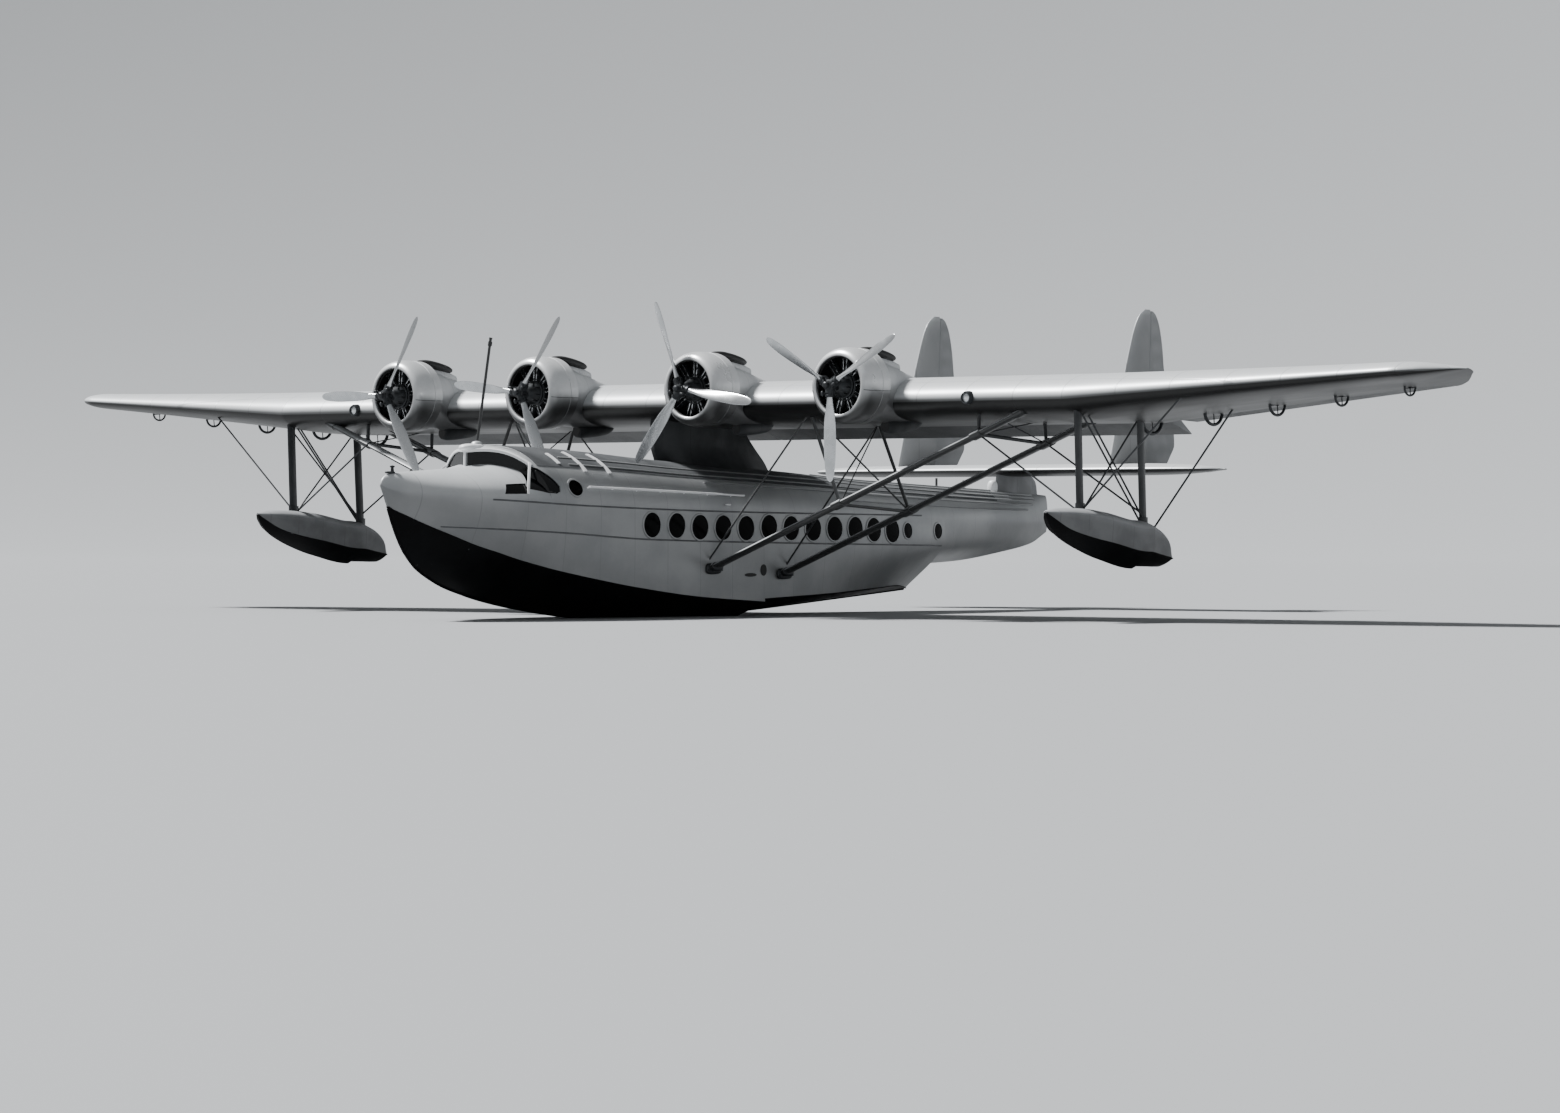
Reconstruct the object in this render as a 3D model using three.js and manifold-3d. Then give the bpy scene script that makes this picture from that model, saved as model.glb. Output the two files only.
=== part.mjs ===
import * as THREE from "three";
import { mergeVertices } from "three/addons/utils/BufferGeometryUtils.js";
import Module from "manifold-3d";

// Four-engined flying boat of the nineteen-thirties. Millimetres, +Z up, nose towards -Y, port side +X.
// The origin lies on the water's surface, in the plane of symmetry, under the mouths of the engine cowls.

const wasm = await Module();
wasm.setup();

// Driving dimensions
const seat = 0.3; // gap between touching pieces
const run = 14; // gap round a control surface's rounded nose
const endGap = 30; // gap at the ends of a control surface
const armGap = 5; // gap between a hinge arm and a control surface
const boreSpare = 8; // free depth past the end of a hinge pin
const far = 3000; // reach of a cutting tool past what it cuts

const thrustZ = 4270; // height of the propeller shafts
const engineX = [-5650, -2040, 2040, 5650]; // numbered from starboard
const cowl = { length: 680, radius: 700, mouth: 525, bore: 660, sides: 24 };
const firewall = { y: 640 };
const propeller = { radius: 1750, hubY: -215, hubRadius: 110, shaft: 45, blades: 3 };
const propellerTurn = [30, 36, -21, 60]; // degrees at which each propeller rests
const pin = { radius: 25, play: 0.3, sides: 16, depth: 60, arm: 30 }; // hinge pins

const wing = { centre: 9900, camber: 0.035, drop: 0.096 };
const flap = { hinge: 0.8, radius: 140, droop: 20, tail: 14, inner: 12, outer: wing.centre - 40 };
const aileron = { hinge: 0.78, radius: 0.031, tail: 12, inner: wing.centre + 40, outer: 16340 };
const sparY = { front: 1450, rear: 3330 };

const floatX = 10000;
const tail = { hingeY: 13100, radius: 62, finX: 2760, innerCut: 2250, outerCut: 3290, outer: 4960 };
const rudder = { footY: 13320, footZ: 3012, lean: 0.083, radius: 52 };

const paint = { silver: 0xc4c6c8, black: 0x141516, dark: 0x3b3d40, glass: 0x1b2226, steel: 0x8d9095 };

// Solids and meshes
const point = (x, y, z) => new THREE.Vector3(x, y, z);
const slide = (value, low, high, from, to) => from + ((to - from) * (value - low)) / (high - low);
const radians = (degrees) => (degrees * Math.PI) / 180;

function solidOf(geometry) {
  const plain = geometry.clone();
  plain.deleteAttribute("normal");
  plain.deleteAttribute("uv");
  const merged = mergeVertices(plain, 1e-3);
  const vertProperties = new Float32Array(merged.attributes.position.array);
  const triVerts = new Uint32Array(merged.index.array);
  return new wasm.Manifold(new wasm.Mesh({ numProp: 3, vertProperties, triVerts }));
}

function geometryOf(solid) {
  const mesh = solid.getMesh();
  const geometry = new THREE.BufferGeometry();
  geometry.setAttribute("position", new THREE.BufferAttribute(new Float32Array(mesh.vertProperties), 3));
  geometry.setIndex(new THREE.BufferAttribute(new Uint32Array(mesh.triVerts), 1));
  return geometry;
}

const join = (first, ...others) => others.reduce((sum, other) => sum.add(other), first);
const cut = (body, ...tools) => tools.reduce((rest, tool) => rest.subtract(tool), body);
const mirrored = (solid) => solid.mirror([1, 0, 0]);
const bothSides = (solid) => solid.add(mirrored(solid));

// Drops the slivers that a cut leaves on the far side of its tool.
function biggest(solid) {
  return solid.decompose().reduce((best, piece) => (piece.volume() > best.volume() ? piece : best));
}

function volumeOf(points, index) {
  let volume = 0;
  for (let t = 0; t < index.length; t += 3) {
    const [a, b, c] = [points[index[t]], points[index[t + 1]], points[index[t + 2]]];
    volume += a.dot(new THREE.Vector3().crossVectors(b, c)) / 6;
  }
  return volume;
}

// A closed solid over rings with equally many points; axis names the direction that the rings follow.
function loft(rings, axis) {
  const count = rings[0].length;
  const flat = { x: (p) => [p.y, p.z], y: (p) => [p.x, p.z], z: (p) => [p.x, p.y] }[axis];
  const { area, triangulateShape } = THREE.ShapeUtils;
  const index = [];
  for (let ring = 0; ring + 1 < rings.length; ring += 1) {
    for (let k = 0; k < count; k += 1) {
      const a = ring * count + k;
      const b = ring * count + ((k + 1) % count);
      index.push(a, b, b + count, a, b + count, a + count);
    }
  }
  const lid = (ring, offset, sense) => {
    const outline = ring.map((p) => new THREE.Vector2(...flat(p)));
    for (const [a, b, c] of triangulateShape(outline.slice(), [])) {
      const along = area([outline[a], outline[b], outline[c]]) * area(outline) * sense > 0;
      index.push(offset + a, offset + (along ? b : c), offset + (along ? c : b));
    }
  };
  lid(rings[0], 0, -1);
  lid(rings.at(-1), (rings.length - 1) * count, 1);
  const points = rings.flat();
  const geometry = new THREE.BufferGeometry().setFromPoints(points);
  geometry.setIndex(volumeOf(points, index) > 0 ? index : index.reverse());
  return solidOf(geometry);
}

// Reads a table whose rows are sorted by their first column, straight between rows.
function lookUp(table, value) {
  const above = table.findIndex((row) => row[0] > value);
  const high = above < 0 ? table.length - 1 : Math.max(above, 1);
  const [a, b] = [table[high - 1], table[high]];
  return a.map((low, column) => slide(value, a[0], b[0], low, b[column]));
}

function box(lowX, lowY, lowZ, highX, highY, highZ) {
  const geometry = new THREE.BoxGeometry(highX - lowX, highY - lowY, highZ - lowZ);
  geometry.translate((lowX + highX) / 2, (lowY + highY) / 2, (lowZ + highZ) / 2);
  return solidOf(geometry);
}

// A body of revolution about a line along Y; profile rows are [y, radius].
function turned(profile, x, z, sides) {
  const outline = profile.map(([y, r]) => new THREE.Vector2(r, y));
  const facingOut = THREE.ShapeUtils.area(outline) > 0 ? outline : outline.reverse();
  return solidOf(new THREE.LatheGeometry(facingOut, sides).translate(x, 0, z));
}

// A streamlined or round rod between two points; wideWay says where its long side lies.
function rod(from, to, chord, thick, sides, wideWay) {
  const along = to.clone().sub(from).normalize();
  const wide = wideWay.clone().addScaledVector(along, -wideWay.dot(along)).normalize();
  const thin = new THREE.Vector3().crossVectors(along, wide);
  const ring = (centre) => Array.from({ length: sides }, (_, k) => {
    const turn = (2 * Math.PI * (k + 0.5)) / sides;
    return centre.clone().addScaledVector(wide, (Math.cos(turn) * chord) / 2)
      .addScaledVector(thin, (Math.sin(turn) * thick) / 2);
  });
  const axis = ["x", "y", "z"].reduce((best, name) => (
    Math.abs(along[name]) > Math.abs(along[best]) ? name : best));
  return loft([ring(from), ring(to)], axis);
}

const aft = point(0, 1, 0);
const up = point(0, 0, 1);

function wire(from, to, thick = 24) {
  return rod(from, to, thick, thick, 6, Math.abs(to.y - from.y) > 1500 ? up : aft);
}

// Hull: keel, chine, side, shoulder and crown at each station along the length
const hullStations = [
  // y, keel z, chine x, chine z, side x, side z, shoulder x, shoulder z, crown z
  [-6040, 2430, 12, 2435, 18, 2445, 22, 2460, 2485],
  [-5950, 2240, 16, 2250, 45, 2345, 60, 2415, 2615],
  [-5850, 2010, 24, 2060, 100, 2275, 135, 2380, 2675],
  [-5600, 1475, 130, 1935, 245, 2130, 300, 2330, 2705],
  [-5160, 965, 400, 1705, 575, 1995, 650, 2280, 2745],
  [-4790, 760, 620, 1535, 810, 1890, 890, 2245, 2775],
  [-4410, 605, 820, 1365, 1010, 1790, 1090, 2215, 2800],
  [-3650, 400, 1110, 1115, 1255, 1640, 1325, 2170, 2850],
  [-2930, 260, 1280, 935, 1375, 1540, 1415, 2135, 2870],
  [-2300, 165, 1355, 815, 1415, 1450, 1440, 2105, 2880],
  [-2299, 165, 1355, 815, 1415, 1450, 1440, 2105, 3180],
  [-890, 5, 1430, 595, 1450, 1300, 1450, 2060, 3110],
  [1000, -130, 1450, 385, 1450, 1200, 1450, 2020, 2980],
  [2900, -200, 1450, 270, 1450, 1200, 1450, 1970, 2890],
  [2901, 10, 1450, 330, 1450, 1200, 1450, 1970, 2890],
  [5000, 160, 1330, 410, 1440, 1190, 1440, 1925, 2775],
  [7000, 310, 870, 500, 1310, 1190, 1330, 1890, 2640],
  [8200, 400, 400, 530, 1110, 1190, 1170, 1865, 2590],
  [8900, 455, 60, 480, 950, 1200, 1060, 1850, 2560],
  [8901, 850, 300, 900, 950, 1250, 1060, 1850, 2560],
  [10300, 960, 220, 1010, 660, 1320, 800, 1830, 2505],
  [12000, 1150, 150, 1200, 360, 1460, 480, 1825, 2440],
  [13000, 1310, 90, 1360, 190, 1580, 250, 1835, 2405],
  [13620, 1560, 30, 1600, 50, 1720, 70, 1850, 2360],
];
const steps = { stem: -5850, second: 8900 };
const deckSegments = 8;
const cabin = { front: -3990, rear: -2300, split: 2200, wall: 60, floor: 1750 };
const roofStations = [
  // y, shoulder x, shoulder z, crown z
  [-4100, 1185, 2195, 3060],
  [-3850, 1262, 2182, 3100],
  [-3400, 1355, 2158, 3200],
  [-2299, 1440, 2105, 3180],
];

function deckArc(shoulderX, shoulderZ, crownZ, grow) {
  return Array.from({ length: deckSegments + 1 }, (_, k) => {
    const turn = (Math.PI * k) / deckSegments;
    return [(shoulderX + grow) * Math.cos(turn), shoulderZ + (crownZ + grow - shoulderZ) * Math.sin(turn)];
  });
}

function topsidesRing([y, , chineX, chineZ, sideX, sideZ, shoulderX, shoulderZ, crownZ], grow) {
  const outline = [
    [chineX + grow, chineZ], [sideX + grow, sideZ],
    ...deckArc(shoulderX, shoulderZ, crownZ, grow),
    [-sideX - grow, sideZ], [-chineX - grow, chineZ],
  ];
  return outline.map(([x, z]) => point(x, y, z));
}

function roofRing([y, shoulderX, shoulderZ, crownZ], grow) {
  const outline = [
    [shoulderX + grow - 8, cabin.floor], ...deckArc(shoulderX, shoulderZ, crownZ, grow),
    [-shoulderX - grow + 8, cabin.floor],
  ];
  return outline.map(([x, z]) => point(x, y, z));
}

// The raked windscreen meets in a vee on the centre line; inset moves it aft.
function behindWindscreen(inset) {
  const vee = (z, rake) => [
    [0, -3900 + rake + inset], [1150, -3400 + rake + inset], [2000, -3030 + rake + inset],
    [2000, cabin.rear + 1], [-2000, cabin.rear + 1],
    [-2000, -3030 + rake + inset], [-1150, -3400 + rake + inset],
  ].map(([x, y]) => point(x, y, z));
  return loft([vee(1500, -240), vee(3500, 120)], "z");
}

const cabinStations = hullStations.filter(([y]) => y > -4500 && y < 0);

function hullShape(grow = 0, stations = hullStations) {
  const shell = loft(stations.map((station) => topsidesRing(station, grow)), "y");
  const roof = loft(roofStations.map((station) => roofRing(station, grow)), "y");
  return join(shell, roof.intersect(behindWindscreen(-grow)));
}

function cabinZone(grow) {
  return box(-far, cabin.front - grow, cabin.split - grow, far, cabin.rear + grow, 2 * far);
}

function cockpitHollow() {
  const reach = box(-far, cabin.front + cabin.wall, cabin.floor, far, cabin.rear - cabin.wall, 2 * far);
  return hullShape(-cabin.wall, cabinStations).intersect(reach);
}

const hullTopsides = () => cut(hullShape(), cabinZone(0), cockpitHollow());

function hullBottom() {
  const low = lookUp(hullStations, steps.stem);
  const rows = [low, ...hullStations.filter(([y]) => y > steps.stem && y <= steps.second)];
  return loft(rows.map(([y, keelZ, chineX, chineZ]) => [
    point(chineX, y, chineZ - seat), point(0, y, keelZ - seat), point(-chineX, y, chineZ - seat),
  ]), "y");
}

// Cockpit glazing, port half: a front pane as [x, z], and a side pane as [y, z] with a sloping rear edge
const frontPane = [[45, 2880], [45, 3020], [480, 2975], [960, 2790], [960, 2680], [480, 2830]];
const sidePane = [[-3300, 2400], [-3300, 2790], [-3180, 2790], [-2640, 2540], [-2600, 2330]];

function paneCutter(outline, axis, low, high) {
  const ring = (depth) => outline.map(([p, q]) => (axis === "y" ? point(p, depth, q) : point(depth, p, q)));
  return loft([ring(low), ring(high)], axis);
}

const paneReach = { front: [-4400, -3150], side: [600, 1700] };

function windows() {
  const front = paneCutter(frontPane, "y", ...paneReach.front);
  const side = paneCutter(sidePane, "x", ...paneReach.side);
  return bothSides(join(front, side));
}

const cockpitCanopy = () => cut(hullShape().intersect(cabinZone(-seat)), cockpitHollow(), windows());

// The outline drawn in a little towards its middle, so that the glass clears its frame
function drawnIn(outline, share = 0.0015) {
  const middle = [0, 1].map((k) => outline.reduce((sum, corner) => sum + corner[k], 0) / outline.length);
  return outline.map((corner) => corner.map((value, k) => slide(share, 0, 1, value, middle[k])));
}

// A sheet of glass set into the thickness of the canopy
function pane(outline, axis) {
  const { inner, outer } = { inner: -40, outer: -25 };
  const sheet = cut(hullShape(outer, cabinStations), hullShape(inner, cabinStations));
  return biggest(sheet.intersect(paneCutter(drawnIn(outline), axis, ...paneReach[axis === "y" ? "front" : "side"])));
}

// Wings: sections at stations along the span
const wingStations = [
  // x, leading edge y, leading edge z, chord, thickness
  [9900, 1100, 4020, 4110, 0.2],
  [16400, 1750, 4360, 2150, 0.15],
  [16950, 1900, 4385, 1700, 0.14],
  [17250, 2130, 4400, 1150, 0.13],
  [17400, 2480, 4400, 420, 0.12],
];
const foilSteps = [0, 0.012, 0.045, 0.11, 0.2, 0.32, 0.47, 0.63, 0.8, 1];

function camberLine(s, camber) {
  return s < 0.4 ? (camber * (0.8 * s - s ** 2)) / 0.16 : (camber * (0.2 + 0.8 * s - s ** 2)) / 0.36;
}

// Half the thickness of a classic four-digit section at fraction s of the chord, blunt at its tail
function halfThickness(s, thick) {
  const wave = 0.2969 * Math.sqrt(s) - 0.126 * s - 0.3516 * s ** 2 + 0.2843 * s ** 3 - 0.1036 * s ** 4;
  return 5 * thick * wave + 0.0015 * s;
}

function foil(thick, camber) {
  const upper = foilSteps.map((s) => [s, camberLine(s, camber) + halfThickness(s, thick)]);
  const lower = foilSteps.slice(1).map((s) => [s, camberLine(s, camber) - halfThickness(s, thick)]);
  return [...upper.reverse(), ...lower];
}

function wingRing([x, leadY, leadZ, chord, thick], grow) {
  return foil(thick, wing.camber).map(([s, t]) => {
    const swell = 1 + (2.5 * grow) / (thick * chord);
    return point(x, leadY + s * chord + (s - 0.5) * 2 * grow, leadZ - s * chord * wing.drop + t * chord * swell);
  });
}

function centreShape(grow = 0) {
  const [, ...section] = wingStations[0];
  const half = wing.centre - seat;
  return loft([-half, half].map((x) => wingRing([x, ...section], grow)), "x");
}

const outerShape = (grow = 0) => loft(wingStations.map((row) => wingRing(row, grow)), "x");

// Landing lamp housings in the leading edge, above the outer joints of the lift struts
function lampHousings() {
  return bothSides(turned([[1010, 0], [1030, 95], [1075, 120], [1400, 120], [1400, 0]], 7790, 4035, 14));
}

// A hinge at fraction s of the chord, on the camber line
function hingeAt(x, s) {
  const [, leadY, leadZ, chord] = lookUp(wingStations, x);
  return { y: leadY + s * chord, z: leadZ + chord * (camberLine(s, wing.camber) - s * wing.drop), chord };
}

function arc(y, z, radius, from, to, segments) {
  return Array.from({ length: segments + 1 }, (_, k) => {
    const turn = radians(slide(k, 0, segments, from, to));
    return [y + radius * Math.cos(turn), z + radius * Math.sin(turn)];
  });
}

// The tool that leaves a cove round a hinge at (y, z)
function coveOutline(y, z, radius) {
  const wall = arc(y, z, radius, 112, 248, 8);
  return [[y + far, z + far], [wall[0][0], z + far], ...wall, [wall.at(-1)[0], z - far], [y + far, z - far]];
}

// A trailing surface about its hinge: a round nose, then straight faces to a blunt tail
function surfaceOutline(radius, length, tailThick, turnDown) {
  const flat = [[length, tailThick / 2], ...arc(0, 0, radius, 80, 280, 8), [length, -tailThick / 2]];
  const [c, s] = [Math.cos(turnDown), Math.sin(turnDown)];
  return flat.map(([y, z]) => [y * c + z * s, z * c - y * s]);
}

// A hinge pin along its axis, and the bore in which it turns
const pinShape = (from, to) => rod(from, to, 2 * pin.radius, 2 * pin.radius, pin.sides, aft);

function pinBore(from, to) {
  const width = (2 * (pin.radius + pin.play)) / Math.cos(Math.PI / pin.sides);
  return rod(from, to, width, width, pin.sides, aft);
}

// An arm that reaches out of a cove to the hinge, between two values of x
function hingeArm(lowX, highX, { y, z }, back) {
  return box(lowX, y - back, z - pin.arm, highX, y + pin.arm, z + pin.arm);
}

const tailSlope = Math.atan(wing.drop + wing.camber * 0.75);

function flapPort() {
  const hinge = hingeAt(wing.centre, flap.hinge);
  const length = (1 - flap.hinge) * hinge.chord;
  const outline = surfaceOutline(flap.radius, length, flap.tail, radians(flap.droop) + tailSlope);
  const body = loft([flap.inner, flap.outer].map((x) => (
    outline.map(([y, z]) => point(x, hinge.y + y, hinge.z + z)))), "x");
  const bore = (from, to) => pinBore(point(from, hinge.y, hinge.z), point(to, hinge.y, hinge.z));
  const deep = pin.depth + boreSpare;
  return cut(body, bore(0, flap.inner + deep), bore(flap.outer - deep, wing.centre));
}

function wingCentre() {
  const hinge = hingeAt(wing.centre, flap.hinge);
  const cove = coveOutline(hinge.y, hinge.z, flap.radius + run);
  const tool = loft([-4 * far, 4 * far].map((x) => cove.map(([y, z]) => point(x, y, z))), "x");
  return join(cut(centreShape(), tool), lampHousings(), flapHinges(hinge));
}

// The flaps' pins: one through an arm on the centre line, and one from an arm at each outer end
function flapHinges(hinge) {
  const back = flap.radius + 2 * pin.arm;
  const at = (x) => point(x, hinge.y, hinge.z);
  const [inner, outer] = [flap.inner + pin.depth, flap.outer - pin.depth];
  const half = flap.inner - armGap;
  const middle = join(hingeArm(-half, half, hinge, back), pinShape(at(-inner), at(inner)));
  const end = hingeArm(flap.outer + armGap, wing.centre - seat, hinge, back);
  return join(middle, bothSides(join(end, pinShape(at(outer), at(wing.centre - seat)))));
}

// The aileron's hinge line runs straight, so its sections are read off at any x.
function aileronHinge(x) {
  const [inner, outer] = [wing.centre, wingStations[1][0]].map((end) => hingeAt(end, aileron.hinge));
  const at = (key) => slide(x, wing.centre, wingStations[1][0], inner[key], outer[key]);
  return { y: at("y"), z: at("z"), chord: at("chord") };
}

function onAileronHinge(x) {
  const { y, z } = aileronHinge(x);
  return point(x, y, z);
}

function aileronPort() {
  const body = loft([aileron.inner, aileron.outer].map((x) => {
    const { y, z, chord } = aileronHinge(x);
    const outline = surfaceOutline(aileron.radius * chord, (1 - aileron.hinge) * chord, aileron.tail, tailSlope);
    return outline.map(([dy, dz]) => point(x, y + dy, z + dz));
  }), "x");
  const bore = (from, to) => pinBore(onAileronHinge(from), onAileronHinge(to));
  const deep = pin.depth + boreSpare;
  return cut(body, bore(wing.centre, aileron.inner + deep), bore(aileron.outer - deep, aileron.outer + deep));
}

// The aileron's pins: one from an arm at its inner end, one out of the wing at its outer end
function aileronHinges() {
  const inner = aileronHinge(aileron.inner);
  const back = aileron.radius * inner.chord + 2 * pin.arm;
  return join(
    hingeArm(wing.centre, aileron.inner - armGap, inner, back),
    pinShape(onAileronHinge(wing.centre + pin.radius / 2), onAileronHinge(aileron.inner + pin.depth)),
    pinShape(onAileronHinge(aileron.outer - pin.depth), onAileronHinge(aileron.outer + endGap + pin.depth)),
  );
}

function wingOuter() {
  const cove = [wing.centre - endGap, aileron.outer + endGap].map((x) => {
    const { y, z, chord } = aileronHinge(x);
    return coveOutline(y, z, aileron.radius * chord + run).map(([cy, cz]) => point(x, cy, cz));
  });
  return join(cut(outerShape(), loft(cove, "x")), hingePlates(), aileronHinges());
}

// Aileron hinge brackets: round plates that hang below the wing
const bracketX = [10800, 12100, 13500, 15100];

function hingePlates() {
  const plates = bracketX.map((x) => {
    const { y, z, chord } = aileronHinge(x);
    const low = z - 0.06 * chord;
    const geometry = new THREE.CylinderGeometry(130, 130, 24, 14).rotateZ(Math.PI / 2);
    geometry.translate(x, y - 0.1 * chord, low);
    return solidOf(geometry);
  });
  return join(...plates);
}

// Engines: nacelle, cowl, radial engine and propeller on each shaft line
const nacelleStations = [
  // y, half width, top z, bottom z
  [firewall.y, 600, 4870, 3670],
  [1150, 585, 4770, 3640],
  [1700, 500, 4620, 3600],
  [2300, 330, 4455, 3600],
  [2800, 120, 4330, 3700],
];

function ovalRings(stations, x, sides) {
  return stations.map(([y, half, high, low]) => Array.from({ length: sides }, (_, k) => {
    const turn = (2 * Math.PI * k) / sides;
    return point(x + half * Math.cos(turn), y, (high + low) / 2 + ((high - low) / 2) * Math.sin(turn));
  }));
}

// A flattened exhaust outlet lies along the top of each nacelle.
const outletStations = [
  // y, half width, top z, bottom z
  [720, 90, 4935, 4800],
  [1100, 130, 4930, 4760],
  [1560, 110, 4860, 4720],
];
const scoopStations = [
  // y, half width, top z, bottom z
  [1380, 95, 3660, 3455],
  [1480, 125, 3700, 3440],
  [2150, 100, 3720, 3500],
];

// Nacelle with its exhaust outlet above and its cooler scoop below, shaped round the wing's nose
function nacelle(x) {
  const body = loft(ovalRings(nacelleStations, x, 16), "y");
  const outlet = loft(ovalRings(outletStations, x, 10), "y");
  const scoop = loft(ovalRings(scoopStations, x, 10), "y");
  return biggest(cut(join(body, outlet, scoop), centreShape(seat)));
}

// Outer skin from the tail forward round the lip, then the bore back to the tail
function cowlRing(x) {
  const { length, radius, mouth, bore } = cowl;
  const profile = [
    [length, radius - 12], [420, radius], [200, radius - 4], [75, radius - 40], [15, radius - 100],
    [0, mouth + 30], [14, mouth], [80, mouth + 15], [215, bore], [length, bore],
  ];
  return turned([...profile, profile[0]], x, thrustZ, cowl.sides);
}

// The heads reach out to the cowl's bore, which they carry.
const cylinders = { count: 9, y: 310, radius: 78, inner: 180 };
const boreFlat = cowl.bore * Math.cos(Math.PI / cowl.sides) - seat;
cylinders.outer = Math.sqrt(boreFlat ** 2 - cylinders.radius ** 2);

const shaftSides = 20;

function engine(x) {
  const shaftEnd = propeller.hubY + 60;
  const { shaft } = propeller;
  const spindle = turned([[shaftEnd, 0], [shaftEnd, shaft], [0, shaft], [0, 0]], x, thrustZ, shaftSides);
  const casing = turned([
    [-60, 0], [-60, 110], [30, 165], [140, 240],
    [210, 270], [420, 270], [450, 380], [firewall.y - seat, 380], [firewall.y - seat, 0],
  ], x, thrustZ, 12);
  const heads = Array.from({ length: cylinders.count }, (_, k) => {
    const turn = (2 * Math.PI * k) / cylinders.count;
    const { radius, inner, outer, y } = cylinders;
    const geometry = new THREE.CylinderGeometry(radius, radius, outer - inner, 8);
    geometry.translate(0, (outer + inner) / 2, 0).rotateX(Math.PI / 2).rotateY(turn);
    return solidOf(geometry.translate(x, y, thrustZ));
  });
  return join(spindle, casing, ...heads);
}

const bladeStations = [
  // radius, chord, thickness, pitch in degrees
  [60, 105, 105, 60],
  [330, 130, 80, 52],
  [700, 210, 50, 37],
  [1250, 220, 28, 24],
  [1620, 160, 16, 18],
  [propeller.radius, 50, 8, 17],
];

function bladeRing([radius, chord, thick, pitch]) {
  const turn = radians(90 - pitch);
  return Array.from({ length: 6 }, (_, k) => {
    const angle = (2 * Math.PI * k) / 6;
    const [c, t] = [(Math.cos(angle) * chord) / 2, (Math.sin(angle) * thick) / 2];
    return point(t * Math.cos(turn) - c * Math.sin(turn), t * Math.sin(turn) + c * Math.cos(turn), radius);
  });
}

function propellerAt(x, startTurn) {
  const { hubY, hubRadius, shaft, blades } = propeller;
  const hub = turned([
    [hubY + 85, 0], [hubY + 85, hubRadius - 25], [hubY + 60, hubRadius], [hubY - 60, hubRadius],
    [hubY - 130, 65], [hubY - 170, 0],
  ], 0, 0, 12);
  const blade = loft(bladeStations.map(bladeRing), "z").translate([0, hubY, 0]);
  const ring = Array.from({ length: blades }, (_, k) => blade.rotate([0, startTurn + (k * 360) / blades, 0]));
  const bore = (shaft + pin.play) / Math.cos(Math.PI / shaftSides);
  const socket = turned([[hubY + 50, 0], [hubY + 50, bore], [hubY + 100, bore], [hubY + 100, 0]], 0, 0, shaftSides);
  return cut(join(hub, ...ring), socket).translate([x, 0, thrustZ]);
}

// Pylon that carries the wing over the hull: streamlined plans at rising heights
const pylonStations = [
  // z, nose y, tail y, half width
  [2250, 1800, 5100, 1060],
  [2600, 1640, 4800, 840],
  [2950, 1480, 4560, 520],
  [3250, 1330, 4250, 420],
  [3600, 1330, 3960, 420],
  [4000, 1400, 3900, 420],
];
const pylonShape = [[0, 0], [0.05, 0.5], [0.16, 0.88], [0.36, 1], [0.6, 0.84], [0.82, 0.45], [1, 0.04]];

function pylon() {
  const rings = pylonStations.map(([z, nose, rear, half]) => {
    const side = pylonShape.map(([s, t]) => [half * t, slide(s, 0, 1, nose, rear)]);
    const other = side.slice(1).reverse().map(([x, y]) => [-x, y]);
    return [...side, ...other].map(([x, y]) => point(x, y, z));
  });
  return cut(loft(rings, "z"), hullShape(seat), centreShape(seat));
}

// Bracing. Each side has a front and a rear lift strut from the hull to a wing spar.
const strutEnds = {
  front: { hull: point(1453, 1390, 930), wing: point(8855, sparY.front, 3795) },
  rear: { hull: point(1453, 3460, 820), wing: point(8950, sparY.rear, 3640) },
};
const strut = { chord: 290, thick: 110 };
const joints = {
  // share of the strut's length from the hull
  inner: 0.42,
  outer: 0.855,
};

const along = ({ hull, wing: top }, share) => hull.clone().lerp(top, share);
const underWing = (grow) => join(centreShape(grow), outerShape(grow));

function liftStrut(ends) {
  const reach = ends.wing.clone().sub(ends.hull).normalize().multiplyScalar(400);
  const body = rod(ends.hull.clone().sub(reach), ends.wing.clone().add(reach), strut.chord, strut.thick, 8, aft);
  const pieces = cut(body, hullShape(seat), centreShape(seat));
  return biggest(cut(pieces, box(ends.wing.x - 600, -far, ends.wing.z + 60, far * 6, far * 3, far * 3)));
}

const lowerSkinZ = { front: 3790, rear: 3600 };

// A clamp round a lift strut, where the jury struts, ties and wires meet it
function collar(side, share) {
  const centre = along(strutEnds[side], share);
  const reach = strutEnds[side].wing.clone().sub(strutEnds[side].hull).normalize().multiplyScalar(85);
  return rod(centre.clone().sub(reach), centre.clone().add(reach), strut.chord + 50, strut.thick + 50, 8, aft);
}

const round = (from, to, thick) => rod(from, to, thick, thick, 6, aft);
const underSpar = (side, x) => point(x, sparY[side], lowerSkinZ[side] + 60);
const strutTools = () => [strutGrown("front"), strutGrown("rear"), centreShape(seat), hullShape(seat)];

// Jury frame: two posts from the lift struts up to the spars, and a tie between the two clamps
function juryFrame(share, frontX, rearX) {
  const [front, rear] = ["front", "rear"].map((side) => along(strutEnds[side], share));
  return join(
    collar("front", share), collar("rear", share), round(front, rear, 70),
    round(front, underSpar("front", frontX), 85), round(rear, underSpar("rear", rearX), 85),
  );
}

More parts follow.
